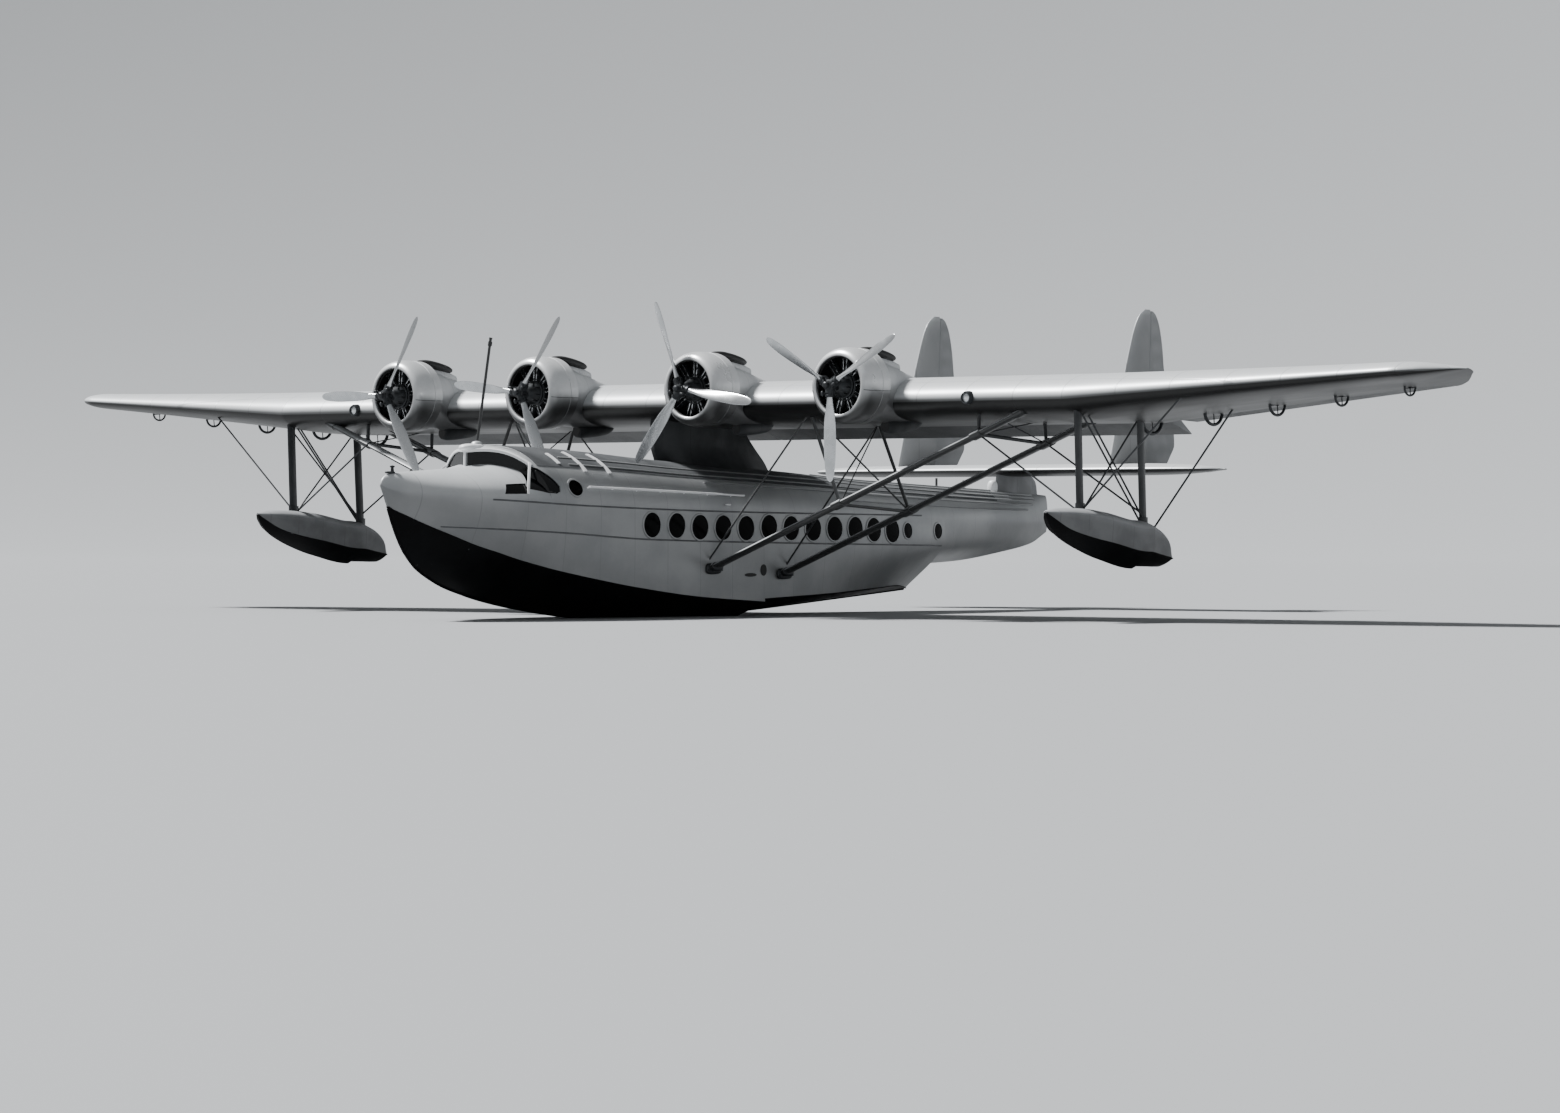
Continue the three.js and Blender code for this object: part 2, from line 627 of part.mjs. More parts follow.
// The inner frame carries the main stays that run up from the hull's strut fittings.
function innerFrame() {
  const stays = [
    wire(point(1400, 1290, 1050), underSpar("front", 3790)),
    wire(point(1400, 3560, 950), underSpar("rear", 3900)),
    wire(along(strutEnds.rear, joints.inner), underSpar("front", 3790)),
  ];
  return biggest(cut(join(juryFrame(joints.inner, 3790, 3900), ...stays), ...strutTools()));
}

// The outer frame carries the two wires that run down to the float.
function outerFrame() {
  const wires = [
    wire(along(strutEnds.front, joints.outer), point(floatX - 40, 700, 1980)),
    wire(along(strutEnds.rear, joints.outer), point(floatX - 90, 1180, 2010)),
  ];
  return biggest(cut(join(juryFrame(joints.outer, 7780, 7830), ...wires), ...strutTools(), floatBody(seat)));
}

function strutGrown(side) {
  const ends = strutEnds[side];
  return rod(ends.hull, ends.wing, strut.chord + 2 * seat, strut.thick + 2 * seat, 8, aft);
}

// Wing floats: keel, chine, side and deck at each station
const floatStations = [
  // y, keel z, chine half width, chine z, deck half width, deck edge z, deck z
  [510, 1935, 20, 1950, 25, 1965, 1985],
  [620, 1740, 110, 1850, 130, 1950, 2010],
  [940, 1500, 240, 1650, 270, 1930, 2040],
  [1450, 1290, 340, 1510, 370, 1890, 2035],
  [2020, 1130, 390, 1410, 420, 1800, 1985],
  [3080, 950, 400, 1250, 420, 1660, 1830],
  [3081, 990, 400, 1255, 420, 1660, 1830],
  [3700, 1010, 330, 1190, 350, 1500, 1660],
  [4180, 1050, 230, 1150, 200, 1290, 1360],
];

function floatRing([y, keelZ, chineHalf, chineZ, deckHalf, edgeZ, deckZ], grow) {
  const side = [
    [chineHalf + grow, chineZ], [deckHalf + grow, edgeZ + grow], [deckHalf * 0.55 + grow, deckZ - 25 + grow],
  ];
  const outline = [[0, keelZ - grow], ...side, [0, deckZ + grow],
    ...side.slice().reverse().map(([x, z]) => [-x, z])];
  return outline.map(([x, z]) => point(floatX + x, y, z));
}

const floatBody = (grow = 0) => loft(floatStations.map((row) => floatRing(row, grow)), "y");

// Two streamlined struts carry each float; their heads seat under the wing's spars.
const floatPosts = [
  { top: point(floatX, sparY.front, 3950), foot: point(floatX, 1530, 1850), chord: 215, thick: 75 },
  { top: point(floatX, sparY.rear, 3800), foot: point(floatX - 10, 3440, 1600), chord: 215, thick: 75 },
];

// Float truss: both struts, their crossed wires, a plate on the float's deck and two wires to the wing
function floatTruss() {
  const [front, rear] = floatPosts;
  const posts = floatPosts.map(({ top, foot, chord, thick }) => rod(foot, top, chord, thick, 8, aft));
  const plate = rod(point(floatX, 3330, 1755), point(floatX, 3930, 1530), 90, 90, 4, aft);
  const wires = [
    wire(point(12350, sparY.front + 60, 4100), point(floatX, 1560, 1990)),
    wire(point(12160, sparY.rear, 3950), point(floatX, 3880, 1560)),
    wire(point(floatX - 20, sparY.front + 40, 3850), point(floatX - 20, rear.foot.y - 40, 1740)),
    wire(point(floatX + 20, sparY.front + 160, 3850), point(floatX + 20, rear.foot.y + 60, 1720)),
    wire(point(floatX, sparY.rear - 60, 3650), point(floatX, front.foot.y + 60, 1990)),
  ];
  return biggest(cut(join(...posts, plate, ...wires), floatBody(seat), underWing(seat)));
}

// Tail: pedestal, tailplane, fins, rudders and elevators
const tailplaneStations = [
  // x, leading edge y, chord
  [0, 11850, 2100],
  [3000, 11930, 2010],
  [4500, 12060, 1820],
  [4960, 12180, 1560],
  [5130, 12330, 1180],
  [5190, 12520, 600],
];
const tailZ = 2870;

function tailplaneRing([x, leadY, chord], grow) {
  const thick = 0.12;
  return foil(thick, 0).map(([s, t]) => {
    const swell = 1 + (2.5 * grow) / (thick * chord);
    return point(x, leadY + s * chord + (s - 0.5) * 2 * grow, tailZ + t * chord * swell);
  });
}

function tailplaneShape(grow = 0) {
  const [first, ...rest] = tailplaneStations;
  const left = rest.slice().reverse().map(([x, ...others]) => [-x, ...others]);
  return loft([...left, first, ...rest].map((row) => tailplaneRing(row, grow)), "x");
}

// Spans of the three elevator pieces; the tailplane runs through between them, under the rudders.
const elevatorSpans = [
  [-tail.outer, -tail.outerCut],
  [-tail.innerCut, tail.innerCut],
  [tail.outerCut, tail.outer],
];

function elevatorCove([low, high]) {
  const cove = coveOutline(tail.hingeY, tailZ, tail.radius + run);
  return loft([low - endGap, high + endGap].map((x) => cove.map(([y, z]) => point(x, y, z))), "x");
}

// A torque tube joins the three pieces through a bore in the tailplane's fixed parts.
const tube = { radius: 28 };
tube.bore = (tube.radius + pin.play) / Math.cos(Math.PI / pin.sides);

function tubeAlong(radius) {
  const geometry = new THREE.CylinderGeometry(radius, radius, 2 * tail.outerCut + 200, pin.sides);
  return solidOf(geometry.rotateZ(Math.PI / 2).translate(0, tail.hingeY, tailZ));
}

function tailplane() {
  const rudderPin = pinShape(onRudderHinge(tailZ + pin.arm), onRudderHinge(rudder.footZ + pin.depth));
  return join(
    cut(tailplaneShape(), ...elevatorSpans.map(elevatorCove), tubeAlong(tube.bore)),
    bothSides(rudderPin),
  );
}

function elevators() {
  const tailY = (x) => {
    const [, leadY, chord] = lookUp(tailplaneStations, Math.abs(x));
    return leadY + chord;
  };
  const parts = elevatorSpans.map((span) => loft(span.map((x) => (
    surfaceOutline(tail.radius, tailY(x) - tail.hingeY, 12, 0)
      .map(([y, z]) => point(x, tail.hingeY + y, tailZ + z)))), "x"));
  return join(tubeAlong(tube.radius), ...parts);
}

const finStations = [
  // z, leading edge y, trailing edge y
  [2870, 12105, 14020],
  [3150, 12185, 14240],
  [3400, 12260, 14390],
  [4930, 12690, 14030],
  [5400, 12850, 13970],
  [5820, 13020, 13870],
  [6060, 13190, 13740],
  [6170, 13370, 13580],
];

const rudderHinge = (z) => rudder.footY + (z - 3000) * rudder.lean;
const onRudderHinge = (z) => point(tail.finX, rudderHinge(z), z);

function finRing([z, leadY, trailY]) {
  const chord = trailY - leadY;
  return foil(0.1, 0).map(([s, t]) => point(tail.finX + t * chord, leadY + s * chord, z));
}

function rudderZone(grow, lowZ) {
  const radius = rudder.radius + grow;
  return loft([lowZ, 6600].map((z) => coveOutline(rudderHinge(z), 0, radius)
    .map(([y, x]) => point(tail.finX + x, y, z))), "z");
}

function finPort() {
  return cut(loft(finStations.map(finRing), "z"), rudderZone(run, 2700), tailplaneShape(seat));
}

function rudderPort() {
  const rows = [lookUp(finStations, rudder.footZ), ...finStations.slice(1, -2), lookUp(finStations, 5990)];
  const body = loft(rows.map(([z, , trailY]) => {
    const hingeY = rudderHinge(z);
    return surfaceOutline(rudder.radius, trailY - hingeY, 12, 0)
      .map(([y, x]) => point(tail.finX + x, hingeY + y, z));
  }), "z");
  return cut(body, pinBore(onRudderHinge(tailZ), onRudderHinge(rudder.footZ + pin.depth + boreSpare)));
}

function tailPedestal() {
  const stations = [[2300, 11900, 13350, 150], [2600, 11950, 13300, 130], [2900, 12000, 13050, 120]];
  const rings = stations.map(([z, nose, rear, half]) => {
    const side = pylonShape.map(([s, t]) => [half * t, slide(s, 0, 1, nose, rear)]);
    const other = side.slice(1).reverse().map(([x, y]) => [-x, y]);
    return [...side, ...other].map(([x, y]) => point(x, y, z));
  });
  return cut(loft(rings, "z"), hullShape(seat), tailplaneShape(seat));
}

// Small fittings on the hull
function radioMast() {
  const body = rod(point(0, -3560, 3100), point(0, -3170, 5180), 62, 48, 8, aft);
  return biggest(cut(body, hullShape(seat)));
}

// The assembly
const group = new THREE.Group();

function place(name, solid, color, roughness = 0.45, metalness = 0.6) {
  const mesh = new THREE.Mesh(geometryOf(solid), new THREE.MeshStandardMaterial({ color, roughness, metalness }));
  mesh.name = name;
  group.add(mesh);
}

function placePair(name, solid, color, roughness, metalness) {
  place(`${name}_port`, solid, color, roughness, metalness);
  place(`${name}_starboard`, mirrored(solid), color, roughness, metalness);
}

place("hull_topsides", hullTopsides(), paint.silver);
place("hull_bottom", hullBottom(), paint.black, 0.5, 0.1);
place("cockpit_canopy", cockpitCanopy(), paint.silver);
placePair("windscreen", pane(frontPane, "y"), paint.glass, 0.08, 0);
placePair("side_window", pane(sidePane, "x"), paint.glass, 0.08, 0);
place("wing_pylon", pylon(), paint.silver);
place("wing_centre", wingCentre(), paint.silver);
placePair("wing_outer", wingOuter(), paint.silver);
placePair("aileron", aileronPort(), paint.silver, 0.6, 0.2);
placePair("flap", flapPort(), paint.silver);
engineX.forEach((x, k) => {
  place(`nacelle_${k + 1}`, nacelle(x), paint.silver);
  place(`engine_${k + 1}`, engine(x), paint.dark, 0.5, 0.7);
  place(`cowl_${k + 1}`, cowlRing(x), paint.silver, 0.35, 0.8);
  place(`propeller_${k + 1}`, propellerAt(x, propellerTurn[k]), paint.steel, 0.3, 0.9);
});
placePair("lift_strut_front", liftStrut(strutEnds.front), paint.dark);
placePair("lift_strut_rear", liftStrut(strutEnds.rear), paint.dark);
placePair("jury_frame_inner", innerFrame(), paint.dark);
placePair("jury_frame_outer", outerFrame(), paint.dark);
placePair("float", floatBody(), paint.silver);
placePair("float_truss", floatTruss(), paint.dark);
place("tail_pedestal", tailPedestal(), paint.silver);
place("tailplane", tailplane(), paint.silver);
place("elevators", elevators(), paint.silver, 0.6, 0.2);
placePair("fin", finPort(), paint.silver);
placePair("rudder", rudderPort(), paint.silver, 0.6, 0.2);
place("radio_mast", radioMast(), paint.dark);

export default group;
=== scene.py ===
import math

import bpy
import numpy as np
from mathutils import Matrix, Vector


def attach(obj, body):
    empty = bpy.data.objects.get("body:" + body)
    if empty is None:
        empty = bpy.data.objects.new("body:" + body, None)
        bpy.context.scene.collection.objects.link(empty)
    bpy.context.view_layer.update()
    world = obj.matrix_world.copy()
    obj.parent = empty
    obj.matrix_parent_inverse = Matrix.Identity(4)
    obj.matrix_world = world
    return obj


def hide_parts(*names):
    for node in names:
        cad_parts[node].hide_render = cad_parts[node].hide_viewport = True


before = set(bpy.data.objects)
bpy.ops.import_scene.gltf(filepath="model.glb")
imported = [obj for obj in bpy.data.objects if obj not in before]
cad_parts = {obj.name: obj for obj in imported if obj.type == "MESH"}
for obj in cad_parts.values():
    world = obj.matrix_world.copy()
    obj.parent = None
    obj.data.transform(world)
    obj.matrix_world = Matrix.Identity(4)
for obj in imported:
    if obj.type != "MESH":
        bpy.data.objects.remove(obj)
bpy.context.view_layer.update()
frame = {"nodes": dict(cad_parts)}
nodes = frame["nodes"]
print("frame loaded:", len(nodes), "nodes")

# Metres, +X to port, +Y aft, +Z up. The water's surface is z = 0, under the cowl mouths.

# The camera that was worked out from the photo: degrees round from straight aft, and the slope of its gaze
view = {
    "place": (64.35, -70.83, 1.71), "turn": 40.3, "dip": -0.0059, "lens": 117.0, "sensor": 36.0,
    "clip": (1.0, 1200.0),
}
studio = {
    "floorColour": "#9B9D9F", "floorRough": 0.9, "skyColour": "#C9CCCF",
    "rings": [0.01, 12, 30, 60, 100], "radius": 170.0, "sweep": 90.0, "rise": 60.0, "middle": 4.0,
    "sunFrom": (-0.55, -0.24, 0.80), "sunPower": 9.0, "sunAngle": 9.0, "skyPower": 0.42,
}


def linear(colour):
    # sRGB hex to linear light: a straight part near black, then the power 2.4
    parts = [int(colour[k:k + 2], 16) / 255 for k in (1, 3, 5)]
    return tuple(c / 12.92 if c <= 0.04045 else ((c + 0.055) / 1.055) ** 2.4 for c in parts) + (1.0,)


def addNode(tree, kind, links=(), give=0, **settings):
    # adds one node with its settings, feeds its inputs, by name or in order, from values or from other nodes'
    # outputs, and gives back one of its own outputs
    node = tree.nodes.new("ShaderNode" + kind)
    for key, value in settings.items():
        setattr(node, key, value)
    for key, source in links.items() if isinstance(links, dict) else enumerate(links):
        if isinstance(source, bpy.types.NodeSocket):
            tree.links.new(source, node.inputs[key])
        else:
            node.inputs[key].default_value = source
    return node.outputs[give]


def startMaterial(name):
    material = bpy.data.materials.new(name)
    material.use_nodes = True
    return material, material.node_tree, material.node_tree.nodes["Principled BSDF"].inputs


def makeCamera():
    turn = math.radians(view["turn"])
    forward = Vector((-math.sin(turn), math.cos(turn), view["dip"]))
    data = bpy.data.cameras.new("camera")
    data.lens, data.sensor_width = view["lens"], view["sensor"]
    data.clip_start, data.clip_end = view["clip"]
    camera = bpy.data.objects.new("camera", data)
    camera.location = view["place"]
    camera.rotation_mode = "QUATERNION"
    camera.rotation_quaternion = forward.to_track_quat("-Z", "Y")
    bpy.context.scene.collection.objects.link(camera)
    bpy.context.scene.camera = camera


def gridFaces(rows, columns, wrapRows=False, wrapColumns=False):
    # quads of a grid of points that are numbered row by row
    a = np.arange(rows if wrapRows else rows - 1)[:, None]
    b = np.arange(columns if wrapColumns else columns - 1)[None, :]
    a1, b1 = (a + 1) % rows, (b + 1) % columns
    quads = [a * columns + b, a * columns + b1, a1 * columns + b1, a1 * columns + b]
    return np.stack(quads, -1).reshape(-1, 4)


def fullTurn(count):
    # angles evenly round a circle
    return np.linspace(0, 2 * np.pi, count, endpoint=False)


def pile(x, y, z):
    # points from their coordinates, each drawn out to the largest one's shape
    return np.stack(np.broadcast_arrays(x, y, z), -1)


def makeStage():
    # a round floor whose edge sweeps up into a backdrop: height grows with the square of the way past the rim
    rings = np.concatenate([studio["rings"], studio["radius"] + np.linspace(0, studio["sweep"], 24)])
    turn = fullTurn(96)
    past = np.clip((rings - studio["radius"]) / studio["sweep"], 0, 1)
    x, y = rings[:, None] * np.cos(turn), rings[:, None] * np.sin(turn) + studio["middle"]
    points = pile(x, y, (studio["rise"] * past ** 2)[:, None]).reshape(-1, 3)
    mesh = bpy.data.meshes.new("floor")
    mesh.from_pydata(points.tolist(), [], gridFaces(len(rings), len(turn), False, True).tolist())
    mesh.shade_smooth()
    floor = bpy.data.objects.new("floor", mesh)
    bpy.context.scene.collection.objects.link(floor)
    material, _, shader = startMaterial("matte studio floor")
    shader["Base Color"].default_value = linear(studio["floorColour"])
    shader["Roughness"].default_value = studio["floorRough"]
    mesh.materials.append(material)


def makeLight():
    data = bpy.data.lights.new("key", "SUN")
    data.energy, data.angle = studio["sunPower"], math.radians(studio["sunAngle"])
    key = bpy.data.objects.new("key", data)
    key.rotation_mode = "QUATERNION"
    key.rotation_quaternion = Vector(studio["sunFrom"]).to_track_quat("Z", "Y")
    bpy.context.scene.collection.objects.link(key)
    world = bpy.data.worlds.new("studio")
    world.use_nodes = True
    sky = world.node_tree.nodes["Background"]
    sky.inputs["Color"].default_value = linear(studio["skyColour"])
    sky.inputs["Strength"].default_value = studio["skyPower"]
    bpy.context.scene.world = world


makeCamera()
makeStage()
makeLight()
print("camera, floor and light made")

# Finishes. Colour drifts between two tones over "patch" metres, "grain" is the fine mottle, "stretch" draws the
# drift out along an axis, and seams are (axis, spacing, start, half width) of sunk lines, with rivets beside them.
# Painted shade: where a surface faces down, its paint fades to "under" of its tone.
plainCoat = {"metal": 0.0, "seams": (), "stretch": (1.0, 1.0, 1.0), "fade": (-0.30, 0.70), "specular": 0.5}
finishes = {
    # aluminium paint on riveted sheet: satin, a little metallic, faint joints between the sheets; painted shade
    # darkens it where it faces down and on the level deck behind the windscreen
    "aluminium paint on hull sheet": {
        "tones": ("#CFD1D2", "#BEC1C3"), "patch": 1.3, "grain": 0.05, "rough": (0.36, 0.52), "metal": 0.25,
        "seams": [("Y", 0.92, 0.10, 0.004)], "rivet": 0.07, "seamTone": 0.90, "under": 0.30, "deckShade": (0.52, -3.5)},
    # the same paint on the wing, whose sheets join along the ribs and spars; painted shade darkens its underside,
    # most of all the belt under the nose
    "aluminium paint on wing sheet": {
        "tones": ("#D3D5D6", "#C3C6C8"), "patch": 1.6, "grain": 0.05, "rough": (0.34, 0.50), "metal": 0.25,
        "stretch": (3.0, 1.0, 1.0), "seams": [("X", 1.10, 0.0, 0.006), ("Y", 0.94, 0.50, 0.005)],
        "rivet": 0.08, "seamTone": 0.82, "under": 0.15, "fade": (-0.12, 0.40), "band": 0.04},
    # doped fabric over ribs: flatter than the sheet, with a fine weave; painted shade darkens it where it faces down
    "aluminium dope on fabric": {
        "tones": ("#CDCFD1", "#BDC0C2"), "patch": 0.9, "grain": 0.03, "rough": (0.50, 0.66), "metal": 0.10,
        "weave": 0.012, "under": 0.17},
    # bottom paint: black, satin, scuffed paler in small specks where it rubs on beaches
    "black bottom paint": {
        "tones": ("#070708", "#0E0F10"), "patch": 0.8, "grain": 0.04, "rough": (0.42, 0.60),
        "seams": [("Y", 0.92, 0.10, 0.006)], "rivet": 0.07, "seamTone": 0.7, "speck": "#6F7274", "specular": 0.05},
    # spun and polished ring cowls, with painted shade darkening them strongly where they face down
    "polished cowl sheet": {
        "tones": ("#EBECED", "#D8DADB"), "patch": 0.5, "grain": 0.03, "rough": (0.26, 0.40), "metal": 0.45,
        "under": 0.06, "fade": (-0.50, 0.38)},
    # enamelled cast iron and steel of the engines, oily and dark
    "dark enamelled iron": {
        "tones": ("#202224", "#303336"), "patch": 0.15, "grain": 0.02, "rough": (0.35, 0.60), "metal": 0.4},
    # forged blades, ground bright
    "ground blade aluminium": {
        "tones": ("#D2D4D6", "#BFC2C4"), "patch": 0.4, "grain": 0.02, "rough": (0.20, 0.34), "metal": 0.9},
    # steel struts under grey enamel; painted shade darkens all but their upper faces nearly to black
    "grey strut enamel": {
        "tones": ("#BDC0C2", "#ABAEB0"), "patch": 0.6, "grain": 0.04, "rough": (0.30, 0.46), "metal": 0.15,
        "under": 0.07, "fade": (0.20, 0.80)},
    "drawn steel wire": {
        "tones": ("#3E4042", "#323436"), "patch": 0.3, "grain": 0.02, "rough": (0.30, 0.45), "metal": 0.7},
    # white enamel on rails and the edge of the cabin roof
    "white enamel": {
        "tones": ("#E8E9EA", "#DADBDD"), "patch": 0.4, "grain": 0.03, "rough": (0.28, 0.42)},
    # sooted sheet of the exhaust outlets
    "sooted steel": {
        "tones": ("#121212", "#242425"), "patch": 0.2, "grain": 0.02, "rough": (0.45, 0.70), "metal": 0.3},
    # rubbing strip over the long joints of the side, dark grey as painted shadow for the line that the lap casts
    "dark rubbing strip as painted shadow": {
        "tones": ("#56585A", "#484A4C"), "patch": 0.3, "grain": 0.02, "rough": (0.45, 0.65)},
    # aluminium paint on the nacelles, darkened where it faces down as painted shade
    "oily aluminium paint on nacelle sheet": {
        "tones": ("#D6D8D9", "#C4C6C8"), "patch": 0.7, "grain": 0.04, "rough": (0.34, 0.48), "metal": 0.25,
        "seams": [("Y", 0.62, 0.10, 0.004)], "rivet": 0.06, "seamTone": 0.88, "under": 0.10, "fade": (-0.50, 0.45)},
    # aluminium paint on the floats, toned darker, and darker still where it faces down, as painted shade
    "dulled aluminium paint on float sheet": {
        "tones": ("#A4A6A8", "#929496"), "patch": 0.5, "grain": 0.03, "rough": (0.45, 0.60), "metal": 0.1,
        "seams": [("Y", 0.62, 0.10, 0.004)], "rivet": 0.06, "seamTone": 0.85, "under": 0.30},
    # near-black strut enamel: painted shade on the struts of the floats
    "strut enamel darkened as painted shade": {
        "tones": ("#3A3C3E", "#2C2E30"), "patch": 0.6, "grain": 0.02, "rough": (0.35, 0.5),
        "specular": 0.3},
    # aluminium paint in the exhaust's path and in the wing's shade: black partly with soot and oil, partly as painted
    # shade
    "sooted aluminium paint": {
        "tones": ("#323436", "#242628"), "patch": 0.7, "grain": 0.05, "rough": (0.45, 0.65), "metal": 0.1,
        "seams": [("Y", 0.92, 0.10, 0.004)], "rivet": 0.07, "seamTone": 0.8, "specular": 0.3},
    # a dark grey, matte skin over the roof's crown: painted shade for the roof under the wing
    "dark grey roof skin as painted shade": {
        "tones": ("#56585A", "#46484A"), "patch": 0.6, "grain": 0.012, "rough": (0.80, 0.95),
        "specular": 0.2},
    # deep window glass over an unlit cabin
    "dark cabin glass": {
        "tones": ("#040506", "#08090A"), "patch": 0.4, "grain": 0.05, "rough": (0.06, 0.12),
        "specular": 0.02},
    # moulded lens over a bright reflector
    "lamp lens": {
        "tones": ("#DDE0E2", "#C9CDD0"), "patch": 0.05, "grain": 0.01, "rough": (0.05, 0.12), "metal": 0.6},
    "dark green lining": {
        "tones": ("#1B211D", "#252B27"), "patch": 0.3, "grain": 0.02, "rough": (0.55, 0.75)},
    "brown seat leather": {
        "tones": ("#3A2A1F", "#2C2018"), "patch": 0.1, "grain": 0.008, "rough": (0.40, 0.60)},
}


# How the patterns are drawn, in metres and shares. Rivet heads and threads are coarser than real ones, to show.
pattern = {
    "drift": (0.36, 0.64), "fine": 0.35, "most": 0.8, "mottleHigh": 0.0004, "roughDrift": (0.3, 0.7), "bump": 0.6,
    "seamSoft": 2.4, "seamDeep": 0.002, "rivetAside": 0.032, "rivetEdge": (0.004, 0.011), "rivetHigh": 0.0015,
    "threadHigh": 0.0004, "chip": (0.70, 0.74), "beltFacing": (0.0, -0.62, -0.78), "beltEdge": (0.72, 0.84),
    "deckRun": 0.6, "deckLevel": (0.02, 0.60),
}


def addSeams(tree, look, split, colour, height):
    # sunk, darker lines at the joints between sheets, with two rows of rivet heads beside each
    soft = {"interpolation_type": "SMOOTHSTEP"}
    for axis, pitch, start, width in look["seams"]:
        # distance to the nearest joint, as a triangle wave along the axis
        moved = addNode(tree, "Math", [split[axis], start], operation="SUBTRACT")
        away = addNode(tree, "Math", [moved, pitch / 2], operation="PINGPONG")
        line = addNode(tree, "MapRange", [away, width, width * pattern["seamSoft"], 1.0, 0.0], **soft)
        joint = tuple(look["seamTone"] * v for v in linear(look["tones"][1])[:3]) + (1.0,)
        colour = addNode(tree, "Mix", {"Factor": line, 6: colour, 7: joint}, 2, data_type="RGBA")
        height = addNode(tree, "Math", [line, -pattern["seamDeep"], height], operation="MULTIPLY_ADD")
        beside = addNode(tree, "Math", [away, pattern["rivetAside"]], operation="SUBTRACT")
        others = [split[other] for other in "XYZ" if other != axis]
        run = addNode(tree, "Math", [others[0], others[1]], operation="ADD")
        along = addNode(tree, "Math", [run, look["rivet"] / 2], operation="PINGPONG")
        flat = addNode(tree, "CombineXYZ", [beside, along])
        reach = addNode(tree, "VectorMath", [flat], "Value", operation="LENGTH")
        head = addNode(tree, "MapRange", [reach, *pattern["rivetEdge"], 1.0, 0.0], **soft)
        height = addNode(tree, "Math", [head, pattern["rivetHigh"], height], operation="MULTIPLY_ADD")
    return colour, height


def addShade(tree, look, split, colour):
    # painted shade: paint keeps its tone where it faces up and is darkened where it faces down
    soft = {"interpolation_type": "SMOOTHSTEP"}
    normal = addNode(tree, "TexCoord", give="Normal")
    up = addNode(tree, "SeparateXYZ", {"Vector": normal}, "Z")
    share = addNode(tree, "MapRange", [up, *look["fade"], look["under"], 1.0], **soft)
    if "band" in look:
        # the painted shade is deepest on the belt under the nose, where the surface faces down and forward
        facingNose = addNode(tree, "VectorMath", [normal, pattern["beltFacing"]], "Value", operation="DOT_PRODUCT")
        belt = addNode(tree, "MapRange", [facingNose, *pattern["beltEdge"], 1.0, look["band"]], **soft)
        share = addNode(tree, "Math", [share, belt], operation="MULTIPLY")
    if "deckShade" in look:
        # painted shade: the deck behind the windscreen is darkened where it is level enough
        shadedTone, start = look["deckShade"]
        behind = addNode(tree, "MapRange", [split["Y"], start, start + pattern["deckRun"]])
        level = addNode(tree, "MapRange", [up, *pattern["deckLevel"]], **soft)
        wearAndShade = addNode(tree, "Math", [behind, level], operation="MULTIPLY")
        kept = addNode(tree, "Math", [wearAndShade, shadedTone - 1, 1.0], operation="MULTIPLY_ADD")
        share = addNode(tree, "Math", [share, kept], operation="MULTIPLY")
    return addNode(tree, "VectorMath", {0: colour, "Scale": share}, operation="SCALE")


def makeFinish(name, look):
    look = {**plainCoat, **look}
    material, tree, shader = startMaterial(name)
    place = addNode(tree, "TexCoord", give="Object")
    stretched = addNode(tree, "Mapping", {"Vector": place, "Scale": tuple(1 / v for v in look["stretch"])})
    drift = addNode(tree, "TexNoise", {
        "Vector": stretched, "Scale": 1 / look["patch"], "Detail": 4.0, "Roughness": 0.6})
    fine = addNode(tree, "TexNoise", {"Vector": place, "Scale": 1 / look["grain"], "Detail": 2.0, "Roughness": 0.5})
    spread = addNode(tree, "MapRange", [drift, *pattern["drift"]], interpolation_type="SMOOTHSTEP")
    blend = addNode(tree, "Math", [fine, pattern["fine"], spread], operation="MULTIPLY_ADD")
    share = addNode(tree, "Math", [blend, pattern["most"]], operation="MULTIPLY", use_clamp=True)
    colour = addNode(tree, "Mix", {"Factor": share, 6: linear(look["tones"][0]), 7: linear(look["tones"][1])}, 2,
                     data_type="RGBA")
    height = addNode(tree, "Math", [fine, pattern["mottleHigh"]], operation="MULTIPLY")
    split = addNode(tree, "SeparateXYZ", {"Vector": place}).node.outputs
    colour, height = addSeams(tree, look, split, colour, height)
    if "weave" in look:
        thread = addNode(tree, "TexWave", {"Vector": place, "Scale": 1 / look["weave"], "Distortion": 0.6},
                         bands_direction="X")
        height = addNode(tree, "Math", [thread, pattern["threadHigh"], height], operation="MULTIPLY_ADD")
    if "speck" in look:
        chips = addNode(tree, "TexNoise", {"Vector": place, "Scale": 9.0, "Detail": 5.0, "Roughness": 0.7})
        wearAndShade = addNode(tree, "MapRange", [chips, *pattern["chip"]])
        colour = addNode(tree, "Mix", {"Factor": wearAndShade, 6: colour, 7: linear(look["speck"])}, 2, data_type="RGBA")
    if "under" in look:
        colour = addShade(tree, look, split, colour)
    rough = addNode(tree, "MapRange", [drift, *pattern["roughDrift"], *look["rough"]])
    bump = addNode(tree, "Bump", {"Height": height, "Strength": pattern["bump"], "Distance": 1.0})
    for socket, source in (("Base Color", colour), ("Roughness", rough), ("Normal", bump)):
        tree.links.new(source, shader[socket])
    shader["Metallic"].default_value = look["metal"]
    shader["Specular IOR Level"].default_value = look["specular"]
    return material


paints = {name: makeFinish(name, look) for name, look in finishes.items()}

clearPane = {
    "tint": "#0C0E10", "ripple": {"Scale": 3.0, "Detail": 1.0}, "bump": {"Strength": 0.05, "Distance": 0.01},
    "shader": {"Roughness": 0.04, "IOR": 1.52, "Specular IOR Level": 0.1, "Transmission Weight": 0.4},
}


